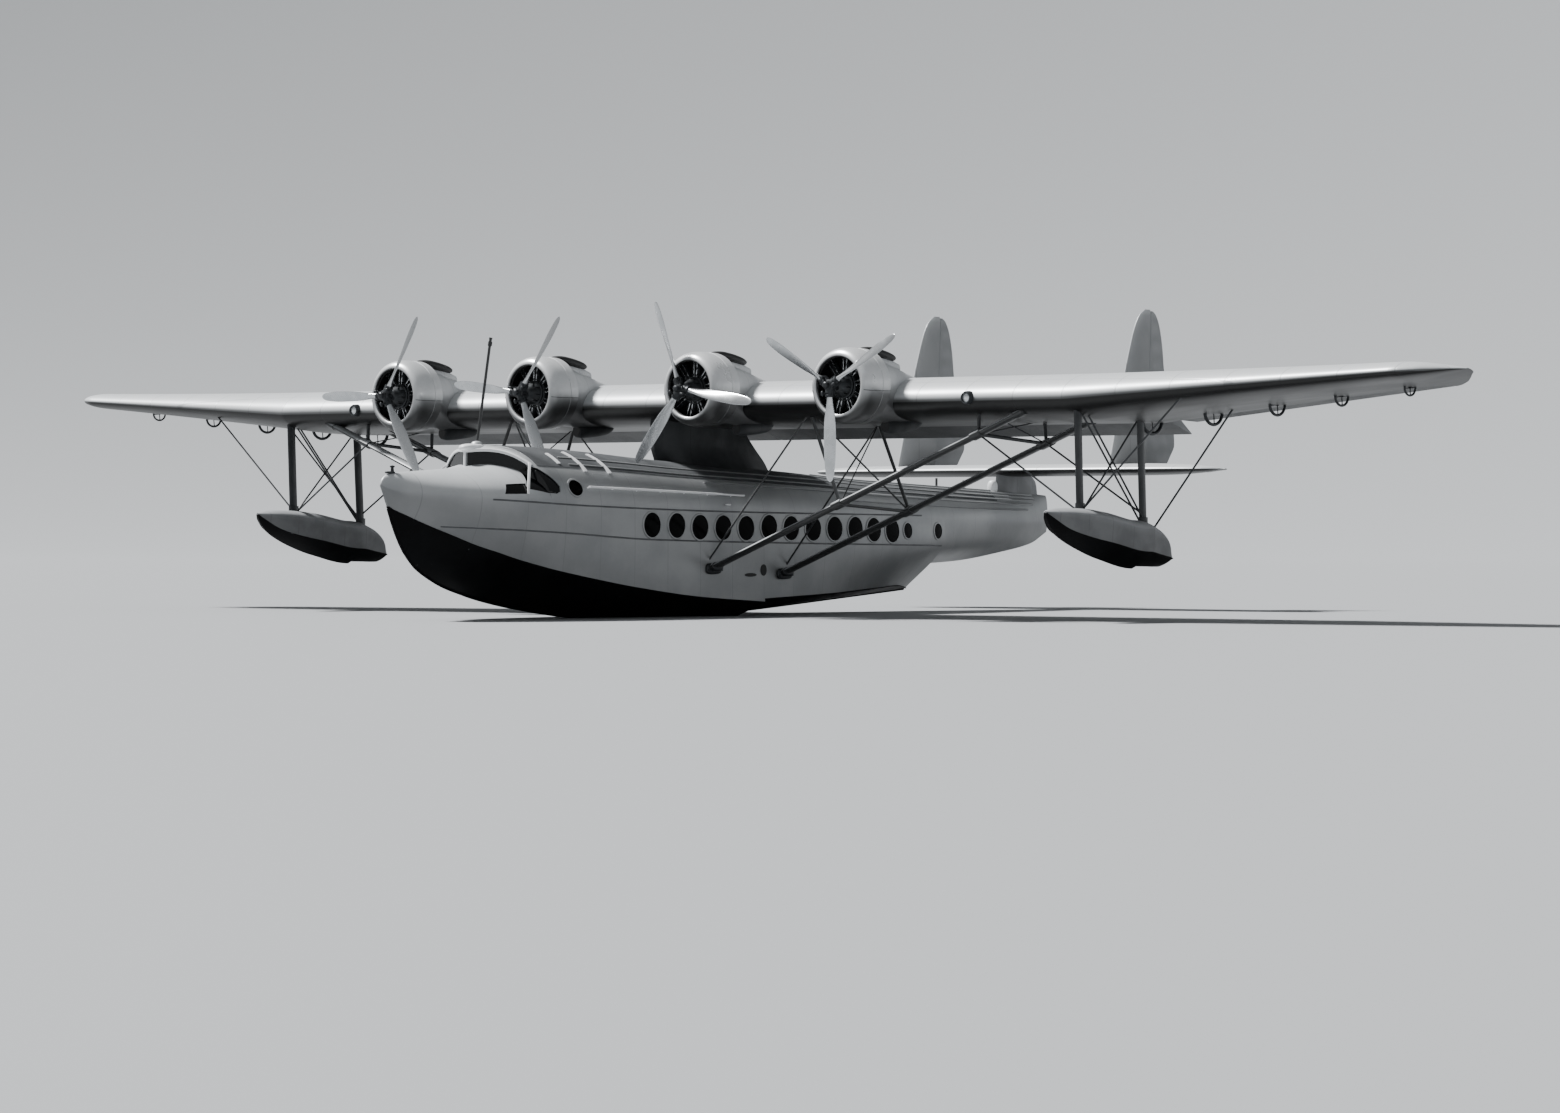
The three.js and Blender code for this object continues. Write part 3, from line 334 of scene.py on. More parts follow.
def makeClearPane():
    # tinted window glass: clear enough to see the seats through, with a slow ripple
    material, tree, shader = startMaterial("tinted window glass")
    place = addNode(tree, "TexCoord", give="Object")
    ripple = addNode(tree, "TexNoise", {"Vector": place, **clearPane["ripple"]})
    bump = addNode(tree, "Bump", {"Height": ripple, **clearPane["bump"]})
    tree.links.new(bump, shader["Normal"])
    shader["Base Color"].default_value = linear(clearPane["tint"])
    for socket, value in clearPane["shader"].items():
        shader[socket].default_value = value
    return material


paints["tinted window glass"] = makeClearPane()
print("finishes made:", len(paints))


# Shapes. A part is a dict of points, quads and lids; a piece is one mesh of several parts.
def hermite(t, a, b, slopeA, slopeB):
    # the cubic that leaves a and reaches b with the given slopes
    return ((2 * t ** 3 - 3 * t ** 2 + 1) * a + (t ** 3 - 2 * t ** 2 + t) * slopeA
            + (3 * t ** 2 - 2 * t ** 3) * b + (t ** 3 - t ** 2) * slopeB)


def throughRows(rows, at):
    # smooth curve through a table's rows: a cubic between rows, whose slope at a row is the harmonic mean of
    # the slopes on its two sides, so that it never swings past the rows
    rows = np.asarray(rows, float)
    x, value = rows[:, 0], rows[:, 1:]
    at = np.clip(np.atleast_1d(np.asarray(at, float)), x[0], x[-1])
    step = np.diff(x)[:, None]
    slope = np.diff(value, axis=0) / step
    before, after = slope[:-1], slope[1:]
    alike = before * after > 0
    mean = np.where(alike, 2 * before * after / np.where(alike, before + after, 1), 0)
    ends = np.vstack([slope[:1], mean, slope[-1:]])
    k = np.clip(np.searchsorted(x, at, side="right") - 1, 0, len(x) - 2)
    t = ((at - x[k]) / (x[k + 1] - x[k]))[:, None]
    h = step[k]
    return hermite(t, value[k], value[k + 1], h * ends[k], h * ends[k + 1])


def alongPath(points, count):
    # evenly spaced points on a smooth curve through the given ones, by the length of the way between them
    points = np.asarray(points, float)
    way = np.concatenate([[0], np.cumsum(np.linalg.norm(np.diff(points, axis=0), axis=1))])
    return throughRows(np.column_stack([way, points]), np.linspace(0, way[-1], count))


def facing(part):
    # turns the faces outwards: the sum of each quad's pyramid from the middle is a volume, and has to be positive
    points, quads = part["points"], part["quads"]
    p = points[quads] - points.mean(0)
    volume = np.einsum("ij,ij->i", p[:, 0], np.cross(p[:, 2] - p[:, 0], p[:, 3] - p[:, 1])).sum()
    if volume < 0:
        part["quads"] = quads[:, ::-1]
        part["lids"] = [lid[::-1] for lid in part["lids"]]
    return part


def loftPart(rings, closed=False):
    # quads join each ring of points to the next, and flat lids shut the first and the last ring
    rings = np.asarray(rings, float)
    count, around = rings.shape[:2]
    quads = gridFaces(count, around, closed, True)
    last = (count - 1) * around
    lids = [] if closed else [list(range(around))[::-1], list(range(last, last + around))]
    return facing({"points": rings.reshape(-1, 3), "quads": quads, "lids": lids})


def mirrored(part):
    # the same part on the other side of the centre plane
    return {"points": part["points"] * (-1, 1, 1), "quads": part["quads"][:, ::-1],
            "lids": [lid[::-1] for lid in part["lids"]]}


def both(parts):
    return parts + [mirrored(part) for part in parts]


def unit(vector):
    vector = np.asarray(vector, float)
    return vector / np.linalg.norm(vector, axis=-1, keepdims=True)


def rodPart(start, end, chord, thick=None, sides=16, wide=(0, 1, 0), tail=0.0):
    # a straight rod: an oval of chord by thick, drawn out behind by tail for a streamlined section
    start, end = np.asarray(start, float), np.asarray(end, float)
    thick = chord if thick is None else thick
    way = unit(end - start)
    side = unit(np.asarray(wide, float) - np.dot(wide, way) * way)
    across = np.cross(way, side)
    turn = fullTurn(sides) + np.pi / sides
    c, s = np.cos(turn), np.sin(turn)
    oval = (c * chord / 2)[:, None] * side + (s * thick / 2 * (1 - tail * np.clip(c, 0, 1)))[:, None] * across
    return loftPart([start + oval, end + oval])


def tubePart(path, radius, sides=10, closed=False, up=(0, 0, 1)):
    # a round tube along a path, its rings square to the path
    path = np.asarray(path, float)
    way = unit(np.roll(path, -1, 0) - np.roll(path, 1, 0) if closed else np.gradient(path, axis=0))
    side = unit(np.cross(way, up))
    over = np.cross(side, way)
    turn = fullTurn(sides)[None, :, None]
    radius = np.broadcast_to(np.asarray(radius, float), len(path))[:, None, None]
    return loftPart(path[:, None] + radius * (np.cos(turn) * side[:, None] + np.sin(turn) * over[:, None]), closed)


def turnedPart(profile, place, axis=(0, 1, 0), sides=48, closed=False):
    # a profile of (distance along, radius) carried round an axis
    profile = np.asarray(profile, float)
    axis = unit(axis)
    side = unit(np.cross(axis, (0, 0, 1) if abs(axis[2]) < 0.9 else (0, 1, 0)))
    over = np.cross(side, axis)
    turn = fullTurn(sides)[None, :, None]
    rings = profile[:, :1, None] * axis + profile[:, 1:2, None] * (np.cos(turn) * side + np.sin(turn) * over)
    return loftPart(np.asarray(place, float) + rings, closed)


def roundPart(place, half, power=1.0, count=20):
    # a rounded block: a ball whose cosines and sines are raised to a power, 1 for an oval and 0.3 for a box
    u = np.linspace(-np.pi, np.pi, 2 * count, endpoint=False)[None, :] + np.pi / (2 * count)
    v = np.linspace(-np.pi / 2 + 0.02, np.pi / 2 - 0.02, count)[:, None]
    curve = lambda w: np.sign(w) * np.abs(w) ** power
    x = curve(np.cos(v)) * curve(np.cos(u)) * half[0]
    y = curve(np.cos(v)) * curve(np.sin(u)) * half[1]
    z = curve(np.sin(v)) * np.ones_like(u) * half[2]
    return loftPart(np.stack([x, y, z], -1) + place)


def wirePart(start, end, width=0.012):
    return rodPart(start, end, width, sides=8, wide=(0.3, 0.8, 0.5))


def bareObject(name, parts):
    # one mesh of several parts, with their lids
    points = np.concatenate([part["points"] for part in parts])
    starts = np.cumsum([0] + [len(part["points"]) for part in parts[:-1]])
    faces = []
    for part, start in zip(parts, starts):
        faces += (part["quads"] + start).tolist() + [[k + int(start) for k in lid] for lid in part["lids"]]
    piece = bpy.data.objects.new(name, bpy.data.meshes.new(name))
    piece.data.from_pydata(points.tolist(), [], faces)
    bpy.context.scene.collection.objects.link(piece)
    return piece


def finishPiece(piece, name, paint, slot, body="root", replaces=(), sharp=32):
    # smooth but for edges sharper than so many degrees, painted, and fastened to its body
    piece.name = piece.data.name = name
    piece.data.shade_smooth()
    piece.data.set_sharp_from_angle(angle=math.radians(sharp))
    piece.data.materials.clear()
    piece.data.materials.append(paints[paint])
    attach(piece, body)
    if replaces:
        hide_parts(*replaces)


def makePiece(name, parts, *looks, **more):
    finishPiece(bareObject(name, parts), name, *looks, **more)


def makePair(name, parts, paint, slot, bodies=("root", "root"), replaces=()):
    # the port piece and its mirror image, each riding on its own body and standing for its own node
    for side, body, shown in zip(("port", "starboard"), bodies, (parts, [mirrored(part) for part in parts])):
        makePiece(f"{name}_{side}", shown, paint, slot, body, [f"{node}_{side}" for node in replaces])


# Hull. Each station gives the widest point of the side, the shoulder where the deck's arch starts, and crowns.
hull = {
    "sides": [  # y, side x, side z, shoulder x, shoulder z
        (-6.045, 0.010, 2.455, 0.012, 2.465), (-6.02, 0.028, 2.42, 0.036, 2.445), (-5.95, 0.055, 2.345, 0.072, 2.415),
        (-5.85, 0.105, 2.275, 0.138, 2.38), (-5.60, 0.245, 2.13, 0.30, 2.33), (-5.16, 0.575, 1.995, 0.65, 2.28),
        (-4.79, 0.81, 1.89, 0.89, 2.245), (-4.41, 1.01, 1.79, 1.09, 2.215), (-3.65, 1.255, 1.64, 1.325, 2.17),
        (-2.93, 1.375, 1.54, 1.415, 2.135), (-2.30, 1.415, 1.45, 1.44, 2.105), (-0.89, 1.45, 1.30, 1.45, 2.06),
        (1.00, 1.45, 1.20, 1.45, 2.02), (2.90, 1.45, 1.20, 1.45, 1.97), (5.00, 1.44, 1.19, 1.44, 1.925),
        (7.00, 1.31, 1.19, 1.33, 1.89), (8.20, 1.11, 1.19, 1.17, 1.865), (8.90, 0.95, 1.22, 1.06, 1.85),
        (10.30, 0.66, 1.32, 0.80, 1.83), (12.00, 0.36, 1.46, 0.48, 1.825), (13.00, 0.19, 1.58, 0.25, 1.835),
        (13.62, 0.05, 1.72, 0.07, 1.85)],
    "foreCrown": [(-6.045, 2.47), (-6.02, 2.54), (-5.95, 2.615), (-5.85, 2.66), (-5.60, 2.69), (-4.94, 2.73),
                  (-4.04, 2.79), (-3.86, 2.815), (-3.61, 2.875), (-3.30, 2.888), (-2.30, 2.89)],
    "roofCrown": [(-4.10, 3.06), (-3.85, 3.10), (-3.40, 3.20), (-2.30, 3.18), (-0.89, 3.11), (1.00, 2.98),
                  (2.90, 2.89), (5.00, 2.775), (7.00, 2.64), (8.20, 2.59), (8.90, 2.56), (10.30, 2.505),
                  (12.00, 2.44), (13.00, 2.405), (13.62, 2.36)],
    # y, chine x, chine z, keel z: three runs, parted by the main step and the second step
    "fore": [(-6.045, 0.006, 2.45, 2.445), (-6.02, 0.014, 2.405, 2.40), (-5.95, 0.018, 2.25, 2.24),
             (-5.85, 0.026, 2.06, 2.01), (-5.72, 0.065, 1.99, 1.70), (-5.60, 0.130, 1.935, 1.475),
             (-5.49, 0.195, 1.875, 1.30), (-5.30, 0.315, 1.775, 1.09), (-5.16, 0.40, 1.705, 0.965),
             (-4.79, 0.62, 1.535, 0.76), (-4.41, 0.82, 1.365, 0.605), (-4.00, 0.99, 1.23, 0.49),
             (-3.65, 1.11, 1.115, 0.40), (-2.93, 1.28, 0.935, 0.26), (-2.30, 1.355, 0.815, 0.165),
             (-1.50, 1.41, 0.685, 0.065), (-0.89, 1.43, 0.595, 0.005), (1.00, 1.45, 0.385, -0.13),
             (2.90, 1.45, 0.27, -0.20)],
    "after": [(2.901, 1.45, 0.33, 0.01), (5.00, 1.33, 0.41, 0.16), (7.00, 0.87, 0.50, 0.31),
              (8.20, 0.40, 0.53, 0.40), (8.90, 0.06, 0.48, 0.455)],
    "tail": [(8.901, 0.30, 0.95, 0.85), (10.30, 0.22, 1.01, 0.96), (12.00, 0.15, 1.20, 1.15),
             (13.00, 0.09, 1.36, 1.31), (13.62, 0.03, 1.60, 1.56)],
    "steps": (2.9, 8.9), "stem": -5.86, "cabin": (-3.99, -2.30), "split": 2.2, "wall": 0.06, "cabinFloor": 1.75,
    "glass": (0.022, 0.036), "arch": 18, "flare": 9, "hollow": 0.10, "keelBar": 0.022, "chineBar": 0.016,
    "barSunk": (0.004, 0.004, 0.006),
    # stations of the skin as (first, last, count), and of the coarser shells around the cockpit
    "bow": [-6.045, -6.035, -6.02, -6.0, -5.975],
    "skin": [(-5.95, -5.4, 14), (-5.3, 2.9, 74), (2.901, 2.901, 1), (3.0, 8.9, 44), (8.901, 8.901, 1),
             (9.0, 13.62, 34)],
    "shell": {"foreCrown": (-4.6, -2.2, 25), "roofCrown": (-4.1, -2.2, 25)}, "foreEnd": -2.0, "roofStart": -4.1,
    "below": ((-3, -2.05, -1), (3, 15, 1.5)), "beyond": 3, "above": 4,
}


def chineAt(y):
    # chine x, chine z and keel z at each y, from the run that holds it
    y = np.atleast_1d(np.asarray(y, float))
    fore, after, tail = (throughRows(hull[key], y) for key in ("fore", "after", "tail"))
    main, second = hull["steps"]
    return np.where((y <= main)[:, None], fore, np.where((y <= second)[:, None], after, tail))


def hullRings(y, crown, grow=0.0):
    # outline at each y: a curve from chine by side to shoulder that ends upright, then half an oval over the deck
    sides, low = throughRows(hull["sides"], y), chineAt(y)
    top = throughRows(hull[crown], y)[:, 0]
    p0, p1, p2 = (points[:, None] for points in (low[:, :2], sides[:, :2], sides[:, 2:4]))
    leave, pass_, arrive = p1 - p0, (p2 - p0) / 2, (p2 - p1) * (0, 1)
    t = np.linspace(0, 1, hull["flare"], endpoint=False)[None, :, None]
    flare = np.concatenate([hermite(t, p0, p1, leave, pass_), hermite(t, p1, p2, pass_, arrive)], 1)
    p2 = p2[:, 0]
    turn = np.linspace(0, np.pi / 2, hull["arch"])[None, :]
    x = p2[:, :1] * np.cos(turn) + grow * np.cos(turn)
    z = p2[:, 1:] + (top[:, None] + grow - p2[:, 1:]) * np.sin(turn)
    flare[..., 0] += grow
    half = np.concatenate([flare, np.stack([x, z], -1)], 1)
    whole = np.concatenate([half, half[:, -2::-1] * (-1, 1)], 1)
    return pile(whole[..., 0], y[:, None], whole[..., 1])


def deckPoint(y, turn, grow=0.0):
    # point over the deck: turn 0 at the port shoulder, a quarter turn at the crown
    y, turn = np.broadcast_arrays(np.asarray(y, float), np.asarray(turn, float))
    sides, top = throughRows(hull["sides"], y.ravel()), throughRows(hull["roofCrown"], y.ravel())[:, 0]
    x = (sides[:, 2] + grow) * np.cos(turn.ravel())
    z = sides[:, 3] + (top + grow - sides[:, 3]) * np.sin(turn.ravel())
    return np.stack([x, y.ravel(), z], -1).reshape(y.shape + (3,))


def sidePoint(y, z, grow=0.0):
    # point on the port side at height z, read off the same section as the hull's rings
    y, z = np.broadcast_arrays(np.atleast_1d(np.asarray(y, float)), np.asarray(z, float))
    rings = hullRings(y, "roofCrown")[:, :2 * hull["flare"] + hull["arch"]]
    x = np.array([np.interp(height, ring[:, 2], ring[:, 0]) for height, ring in zip(z, rings)])
    return np.stack([x + grow, y, z], -1)


def combine(body, tool, operation):
    # body joined with, cut by or kept inside tool; returns a new bare object
    modifier = body.modifiers.new("cut", "BOOLEAN")
    modifier.operation, modifier.solver, modifier.object = operation, "EXACT", tool
    result = bpy.data.objects.new(body.name, bpy.data.meshes.new_from_object(
        body.evaluated_get(bpy.context.evaluated_depsgraph_get())))
    bpy.context.scene.collection.objects.link(result)
    body.modifiers.clear()
    return result


def dropTools(*tools):
    for tool in tools:
        bpy.data.objects.remove(tool)


def boxPart(low, high):
    x, y, z = zip(low, high)
    ring = lambda h: [(x[0], y[0], h), (x[1], y[0], h), (x[1], y[1], h), (x[0], y[1], h)]
    return loftPart([ring(z[0]), ring(z[1])])


windscreen = {
    "plan": 0.586, "nose": -3.86, "inner": 0.03, "outer": 1.000, "head": 0.038, "sill": 0.004,
    "side": [(-3.550, 2.400), (-3.270, 2.81), (-3.127, 2.775), (-3.048, 2.719), (-2.957, 2.654), (-2.867, 2.573),
             (-2.80, 2.491), (-2.764, 2.435), (-2.785, 2.35), (-2.876, 2.31), (-3.081, 2.322), (-3.262, 2.357)],
    "low": [(-4.055, 2.300), (-3.945, 2.478), (-3.73, 2.490), (-3.51, 2.497), (-3.56, 2.305)],
    # how far the tools that cut the panes and the vee reach
    "frontRun": (-4.3, -3.05), "sideRun": (0.6, 1.7), "lowRun": (0.9, 1.7), "veeHigh": (1.0, 3.6), "veeHalf": 2.0,
    "veeRear": 14.0,
}


def screenY(x):
    # the upright vee of the windscreen: further aft with the way out from the centre plane
    return windscreen["nose"] + windscreen["plan"] * np.abs(x)


def screenPart(inset):
    # everything behind the vee, as a prism from well below to well above the cabin
    half, rear = windscreen["veeHalf"], windscreen["veeRear"]
    x = np.array([-half, 0.0, half])
    return loftPart([np.concatenate([pile(x, screenY(x) + inset, z), [(half, rear, z), (-half, rear, z)]])
                     for z in windscreen["veeHigh"]])


def deckAtVee(x, crown):
    # where the roof or the foredeck meets the vee: half an oval over the shoulders
    x = np.asarray(x, float)
    y = screenY(x)
    sides, top = throughRows(hull["sides"], y), throughRows(hull[crown], y)[:, 0]
    z = sides[:, 3] + (top - sides[:, 3]) * np.sqrt(np.clip(1 - (x / sides[:, 2]) ** 2, 0, 1))
    return np.stack([x, y, z], -1)


def paneParts():
    # the port panes as prisms: the front one runs along Y, the side one along X
    w = windscreen
    x = np.linspace(w["inner"], w["outer"], 14)
    upper, lower = deckAtVee(x, "roofCrown")[:, 2] - w["head"], deckAtVee(x, "foreCrown")[:, 2] + w["sill"]
    x, z = np.concatenate([x, x[::-1]]), np.concatenate([lower, upper[::-1]])
    front = [pile(x, y, z) for y in w["frontRun"]]
    side, low = ([np.insert(w[key], 0, far, 1) for far in w[run]]
                 for key, run in (("side", "sideRun"), ("low", "lowRun")))
    return loftPart(front), loftPart(side), loftPart(low)


def cabinShell(inset):
    # foredeck and roof around the cockpit, drawn in by inset; a coarse run of stations is enough here
    fore, roof = (bareObject("tool", [loftPart(hullRings(np.linspace(*run), crown, -inset))])
                  for crown, run in hull["shell"].items())
    vee = bareObject("tool", [screenPart(inset)])
    cutRoof = combine(roof, vee, "INTERSECT")
    whole = combine(fore, cutRoof, "UNION")
    dropTools(fore, roof, vee, cutRoof)
    return whole


def makeHull():
    y = np.concatenate([hull["bow"]] + [np.linspace(*run) for run in hull["skin"]])
    fore = bareObject("tool", [loftPart(hullRings(y[y <= hull["foreEnd"]], "foreCrown"))])
    aft = bareObject("tool", [loftPart(hullRings(y[y >= hull["roofStart"]], "roofCrown"))])
    # the roof and deck start at the vee above the shoulders, and inside the foredeck's own run below them
    vee, below = bareObject("tool", [screenPart(0.0)]), bareObject("tool", [boxPart(*hull["below"])])
    keep = combine(vee, below, "UNION")
    aftCut = combine(aft, keep, "INTERSECT")
    whole = combine(fore, aftCut, "UNION")
    dropTools(fore, aft, vee, below, keep, aftCut)
    wall, (front, rear), beyond, above = hull["wall"], hull["cabin"], hull["beyond"], hull["above"]
    inner = cabinShell(wall)
    room = bareObject("tool", [boxPart((-beyond, front + wall, hull["cabinFloor"]), (beyond, rear - wall, above))])
    hollow = combine(inner, room, "INTERSECT")
    opened = combine(whole, hollow, "DIFFERENCE")
    panes = paneParts()
    for pane in panes:
        cutter, before = bareObject("tool", both([pane])), opened
        opened = combine(before, cutter, "DIFFERENCE")
        dropTools(cutter, before)
    block = bareObject("tool", [boxPart((-beyond, front, hull["split"]), (beyond, rear, above))])
    for operation, name, node in (("DIFFERENCE", "hull_skin", "hull_topsides"),
                                  ("INTERSECT", "cockpit_roof", "cockpit_canopy")):
        finishPiece(combine(opened, block, operation), name, "aluminium paint on hull sheet", "silver_paint",
                    replaces=[node])
    outerGlass, innerGlass = (cabinShell(depth) for depth in hull["glass"])
    sheet = combine(outerGlass, innerGlass, "DIFFERENCE")
    for side, group in (("port", panes), ("starboard", [mirrored(pane) for pane in panes])):
        # the low window has no node of its own
        for part, name, nodes in zip(group, ("windscreen", "side_window", "low_window"), (1, 1, 0)):
            tool = bareObject("tool", [part])
            finishPiece(combine(sheet, tool, "INTERSECT"), f"{name}_pane_{side}", "tinted window glass",
                        "window_glass", replaces=[f"{name}_{side}"] * nodes)
            dropTools(tool)
    dropTools(whole, inner, room, hollow, opened, block, outerGlass, innerGlass, sheet)


def bottomPart(y):
    # vee bottom with a slight hollow between keel and chine, closed across the top
    low = chineAt(y)
    t = np.linspace(0, 1, 9)[None, :]
    x = low[:, :1] * t
    z = low[:, 2:] + (low[:, 1:2] - low[:, 2:]) * (t - hull["hollow"] * np.sin(np.pi * t))
    half = pile(x, y[:, None], z)
    return loftPart(np.concatenate([half[:, ::-1], half[:, 1:] * (-1, 1, 1)], 1))


def makeBottom():
    # a bar along the keel and one along each chine cover the seams
    (main, second), keels, chines = hull["steps"], [], []
    low, inward, lower = hull["barSunk"]
    runs = [np.linspace(hull["stem"], main, 90), np.linspace(main + 0.001, second, 40)]
    for y in runs:
        chineX, chineZ, keelZ = chineAt(y).T
        keels.append(tubePart(pile(0, y, keelZ - low), hull["keelBar"], 8))
        chines.append(tubePart(pile(chineX - inward, y, chineZ - lower), hull["chineBar"], 8))
    makePiece("hull_bottom_skin", [bottomPart(y) for y in runs] + keels + both(chines), "black bottom paint",
              "black_paint", replaces=["hull_bottom"])


makeHull()
makeBottom()
print("hull made")

# Hull fittings. Places on the side are (y, z), and turns over the deck count in degrees up from the port shoulder.
fittings = {
    "ports": [(-0.35, 1.74), (0.345, 1.73), (1.005, 1.70), (1.67, 1.69), (2.335, 1.68), (3.005, 1.70), (3.66, 1.68),
              (4.325, 1.67), (4.98, 1.67), (5.63, 1.67), (6.24, 1.65), (6.87, 1.63)],
    "smallPorts": [(7.43, 1.63), (8.62, 1.62)], "portRadius": 0.235, "smallRadius": 0.155,
    "oval": (-2.37, 2.42, 0.18, 0.145),
    # share of the radius, then out from it, each with the height over the skin
    "glass": ((1.0, -0.010), (1.0, 0.006), (0.7, 0.010), (0.35, 0.012), (0.05, 0.0125)),
    "ring": ((-0.002, -0.01), (-0.002, 0.016), (0.022, 0.016), (0.030, 0.008), (0.030, -0.01)),
    "upperSeam": [(-4.30, 2.20), (-2.03, 2.09), (2.05, 1.99), (8.0, 1.93)],
    "lowerSeam": [(-5.03, 1.71), (-2.60, 1.59), (-0.37, 1.47), (4.00, 1.39), (8.84, 1.33)],
    "rail": [(-2.05, 2.41), (-0.10, 2.35), (2.30, 2.27)],
    "ridges": [(22, 5.2, 12.6), (34, 1.4, 12.9), (44, -2.2, 13.0), (54, -2.3, 13.0), (65, 4.6, 13.0),
               (78, 5.6, 11.6)],
    "bars": [(-2.46, 44, 60), (-1.88, 36, 66), (-1.22, 36, 66)],
    # the strips' section in shares of width and height, and then both for each kind of strip
    "strip": [(-0.5, -0.4), (-0.42, 1.0), (0.42, 1.0), (0.5, -0.4)], "seam": (0.032, 0.008),
    "seamOut": (1.0, 0.0, 0.25), "ridge": (0.030, 0.026), "bar": (0.085, 0.030), "barMiddle": 2.0,
    "railOff": (0.055, 0, 0.03), "railWide": 0.021, "railFoot": 0.022,
    "shadeSkinRun": (-3.08, 11.4), "shadeSkinTurn": (40, 140), "shadeSkinDepth": (0.009, -0.01),
}


def onSide(y, z, radiusY, radiusZ, grow, count=32):
    # an oval's outline laid on the hull's port side
    turn = fullTurn(count)
    return sidePoint(y + radiusY * np.cos(turn), z + radiusZ * np.sin(turn), grow)


def portholeParts(y, z, radiusY, radiusZ):
    # a flush glass disc, domed a little, inside a flat ring whose section is a low box
    glass = loftPart([onSide(y, z, radiusY * s, radiusZ * s, g) for s, g in fittings["glass"]])
    ring = loftPart([onSide(y, z, radiusY + w, radiusZ + w, g) for w, g in fittings["ring"]], True)
    return glass, ring


def stripPart(path, out, across, high):
    # a low strip carried along a path: its foot across wide, its top nearly so, high proud of the surface
    path, out = np.asarray(path, float), unit(out)
    way = unit(np.gradient(path, axis=0))
    side = unit(np.cross(way, out))
    return loftPart(np.stack([path + side * a * across + out * b * high for a, b in fittings["strip"]], 1))


def deckWay(turn, start, stop, count=80):
    # a line over the deck at one turn, and the way out from the hull's middle there
    y = np.linspace(start, stop, count)
    path = deckPoint(y, np.radians(turn))
    return path, np.stack([path[:, 0], 0 * y, (path[:, 2] - throughRows(hull["sides"], y)[:, 3]) + 0.3], -1)


def makeFittings():
    f = fittings
    ports = [(y, z, f[key], f[key]) for row, key in (("ports", "portRadius"), ("smallPorts", "smallRadius"))
             for y, z in f[row]]
    glass, rings = zip(*[portholeParts(*port) for port in ports + [f["oval"]]])
    makePair("porthole_glass", list(glass), "dark cabin glass", "window_glass")
    makePair("porthole_ring", list(rings), "aluminium paint on hull sheet", "silver_paint")
    along = lambda key, count: np.linspace(f[key][0][0], f[key][-1][0], count)
    over = lambda key, y: sidePoint(y, throughRows(f[key], y)[:, 0])
    seams = [stripPart(over(key, along(key, 90)), np.tile(f["seamOut"], (90, 1)), *f["seam"])
             for key in ("upperSeam", "lowerSeam")]
    makePair("side_seam_strip", seams, "dark rubbing strip as painted shadow", "silver_paint")
    place = over("rail", along("rail", 40))
    rail = tubePart(place + f["railOff"], f["railWide"], 10)
    feet = [rodPart(foot - (0.01, 0, 0), foot + f["railOff"], f["railFoot"], sides=8) for foot in place[::6]]
    makePair("deck_hand_rail", [rail] + feet, "white enamel", "silver_paint")
    ridges = [stripPart(*deckWay(*row), *f["ridge"]) for row in f["ridges"]]
    makePair("deck_ridge", ridges, "aluminium paint on hull sheet", "silver_paint")
    bars = []
    for y, low, high in f["bars"]:
        path = deckPoint(np.full(12, y), np.radians(np.linspace(low, high, 12)))
        bars.append(stripPart(path, path - (0, y, f["barMiddle"]), *f["bar"]))
    makePair("hatch_frame", bars, "white enamel", "silver_paint")
    # painted shade: a thin dark grey skin over the crown of the deck
    y, turn = np.linspace(*f["shadeSkinRun"], 140)[:, None], np.radians(np.linspace(*f["shadeSkinTurn"], 41))[None, :]
    upper, lower = (deckPoint(y, turn, grow) for grow in f["shadeSkinDepth"])
    makePiece("roof_shade_skin", [loftPart(np.concatenate([upper, lower[:, ::-1]], 1))], "dark grey roof skin as painted shade",
              "black_paint")


makeFittings()

# Over the cockpit: the white band on top of the windscreen, the pillars and the rounded hood at the mast's foot.
# The band's section is (aft, up) from the roof's edge, and goes from under its lip over the edge to its rear.
cabinTrim = {
    "half": 1.05, "section": [(-0.012, -0.034), (-0.022, -0.024), (-0.022, 0.014), (0.0, 0.022), (0.06, 0.020),
                              (0.075, 0.0), (0.06, -0.02)],
    "ahead": 0.005, "foot": 0.02, "head": 0.01, "centrePillar": (0.035, 0.052), "cornerPillar": (0.046, 0.020),
    "corner": [(1.035, -3.232, 2.875), (1.135, -3.35, 2.74), (1.215, -3.444, 2.58), (1.27, -3.509, 2.44),
               (1.305, -3.55, 2.30)], "cornerOut": (0.80, -0.45, 0.35),
    "hood": ((0, -3.67, 3.155), (0.16, 0.29, 0.075)),
}


def makeCabinTrim():
    trim, white = cabinTrim, ("white enamel", "silver_paint")
    edge = deckAtVee(np.linspace(-trim["half"], trim["half"], 61), "roofCrown")
    makePiece("windscreen_band", [loftPart(np.stack([edge + (0, a, b) for a, b in trim["section"]], 1))], *white)
    foot, top = (deckAtVee(np.zeros(1), crown)[0, 2] for crown in ("foreCrown", "roofCrown"))
    y = windscreen["nose"] - trim["ahead"]
    pillar = rodPart((0, y, foot - trim["foot"]), (0, y, top - trim["head"]), *trim["centrePillar"], 12)
    corner = stripPart(alongPath(trim["corner"], 20), np.tile(trim["cornerOut"], (20, 1)), *trim["cornerPillar"])
    makePiece("windscreen_pillars", [pillar] + both([corner]), *white)
    makePiece("mast_hood", [roundPart(*trim["hood"], 0.8, 20)], *white)


makeCabinTrim()

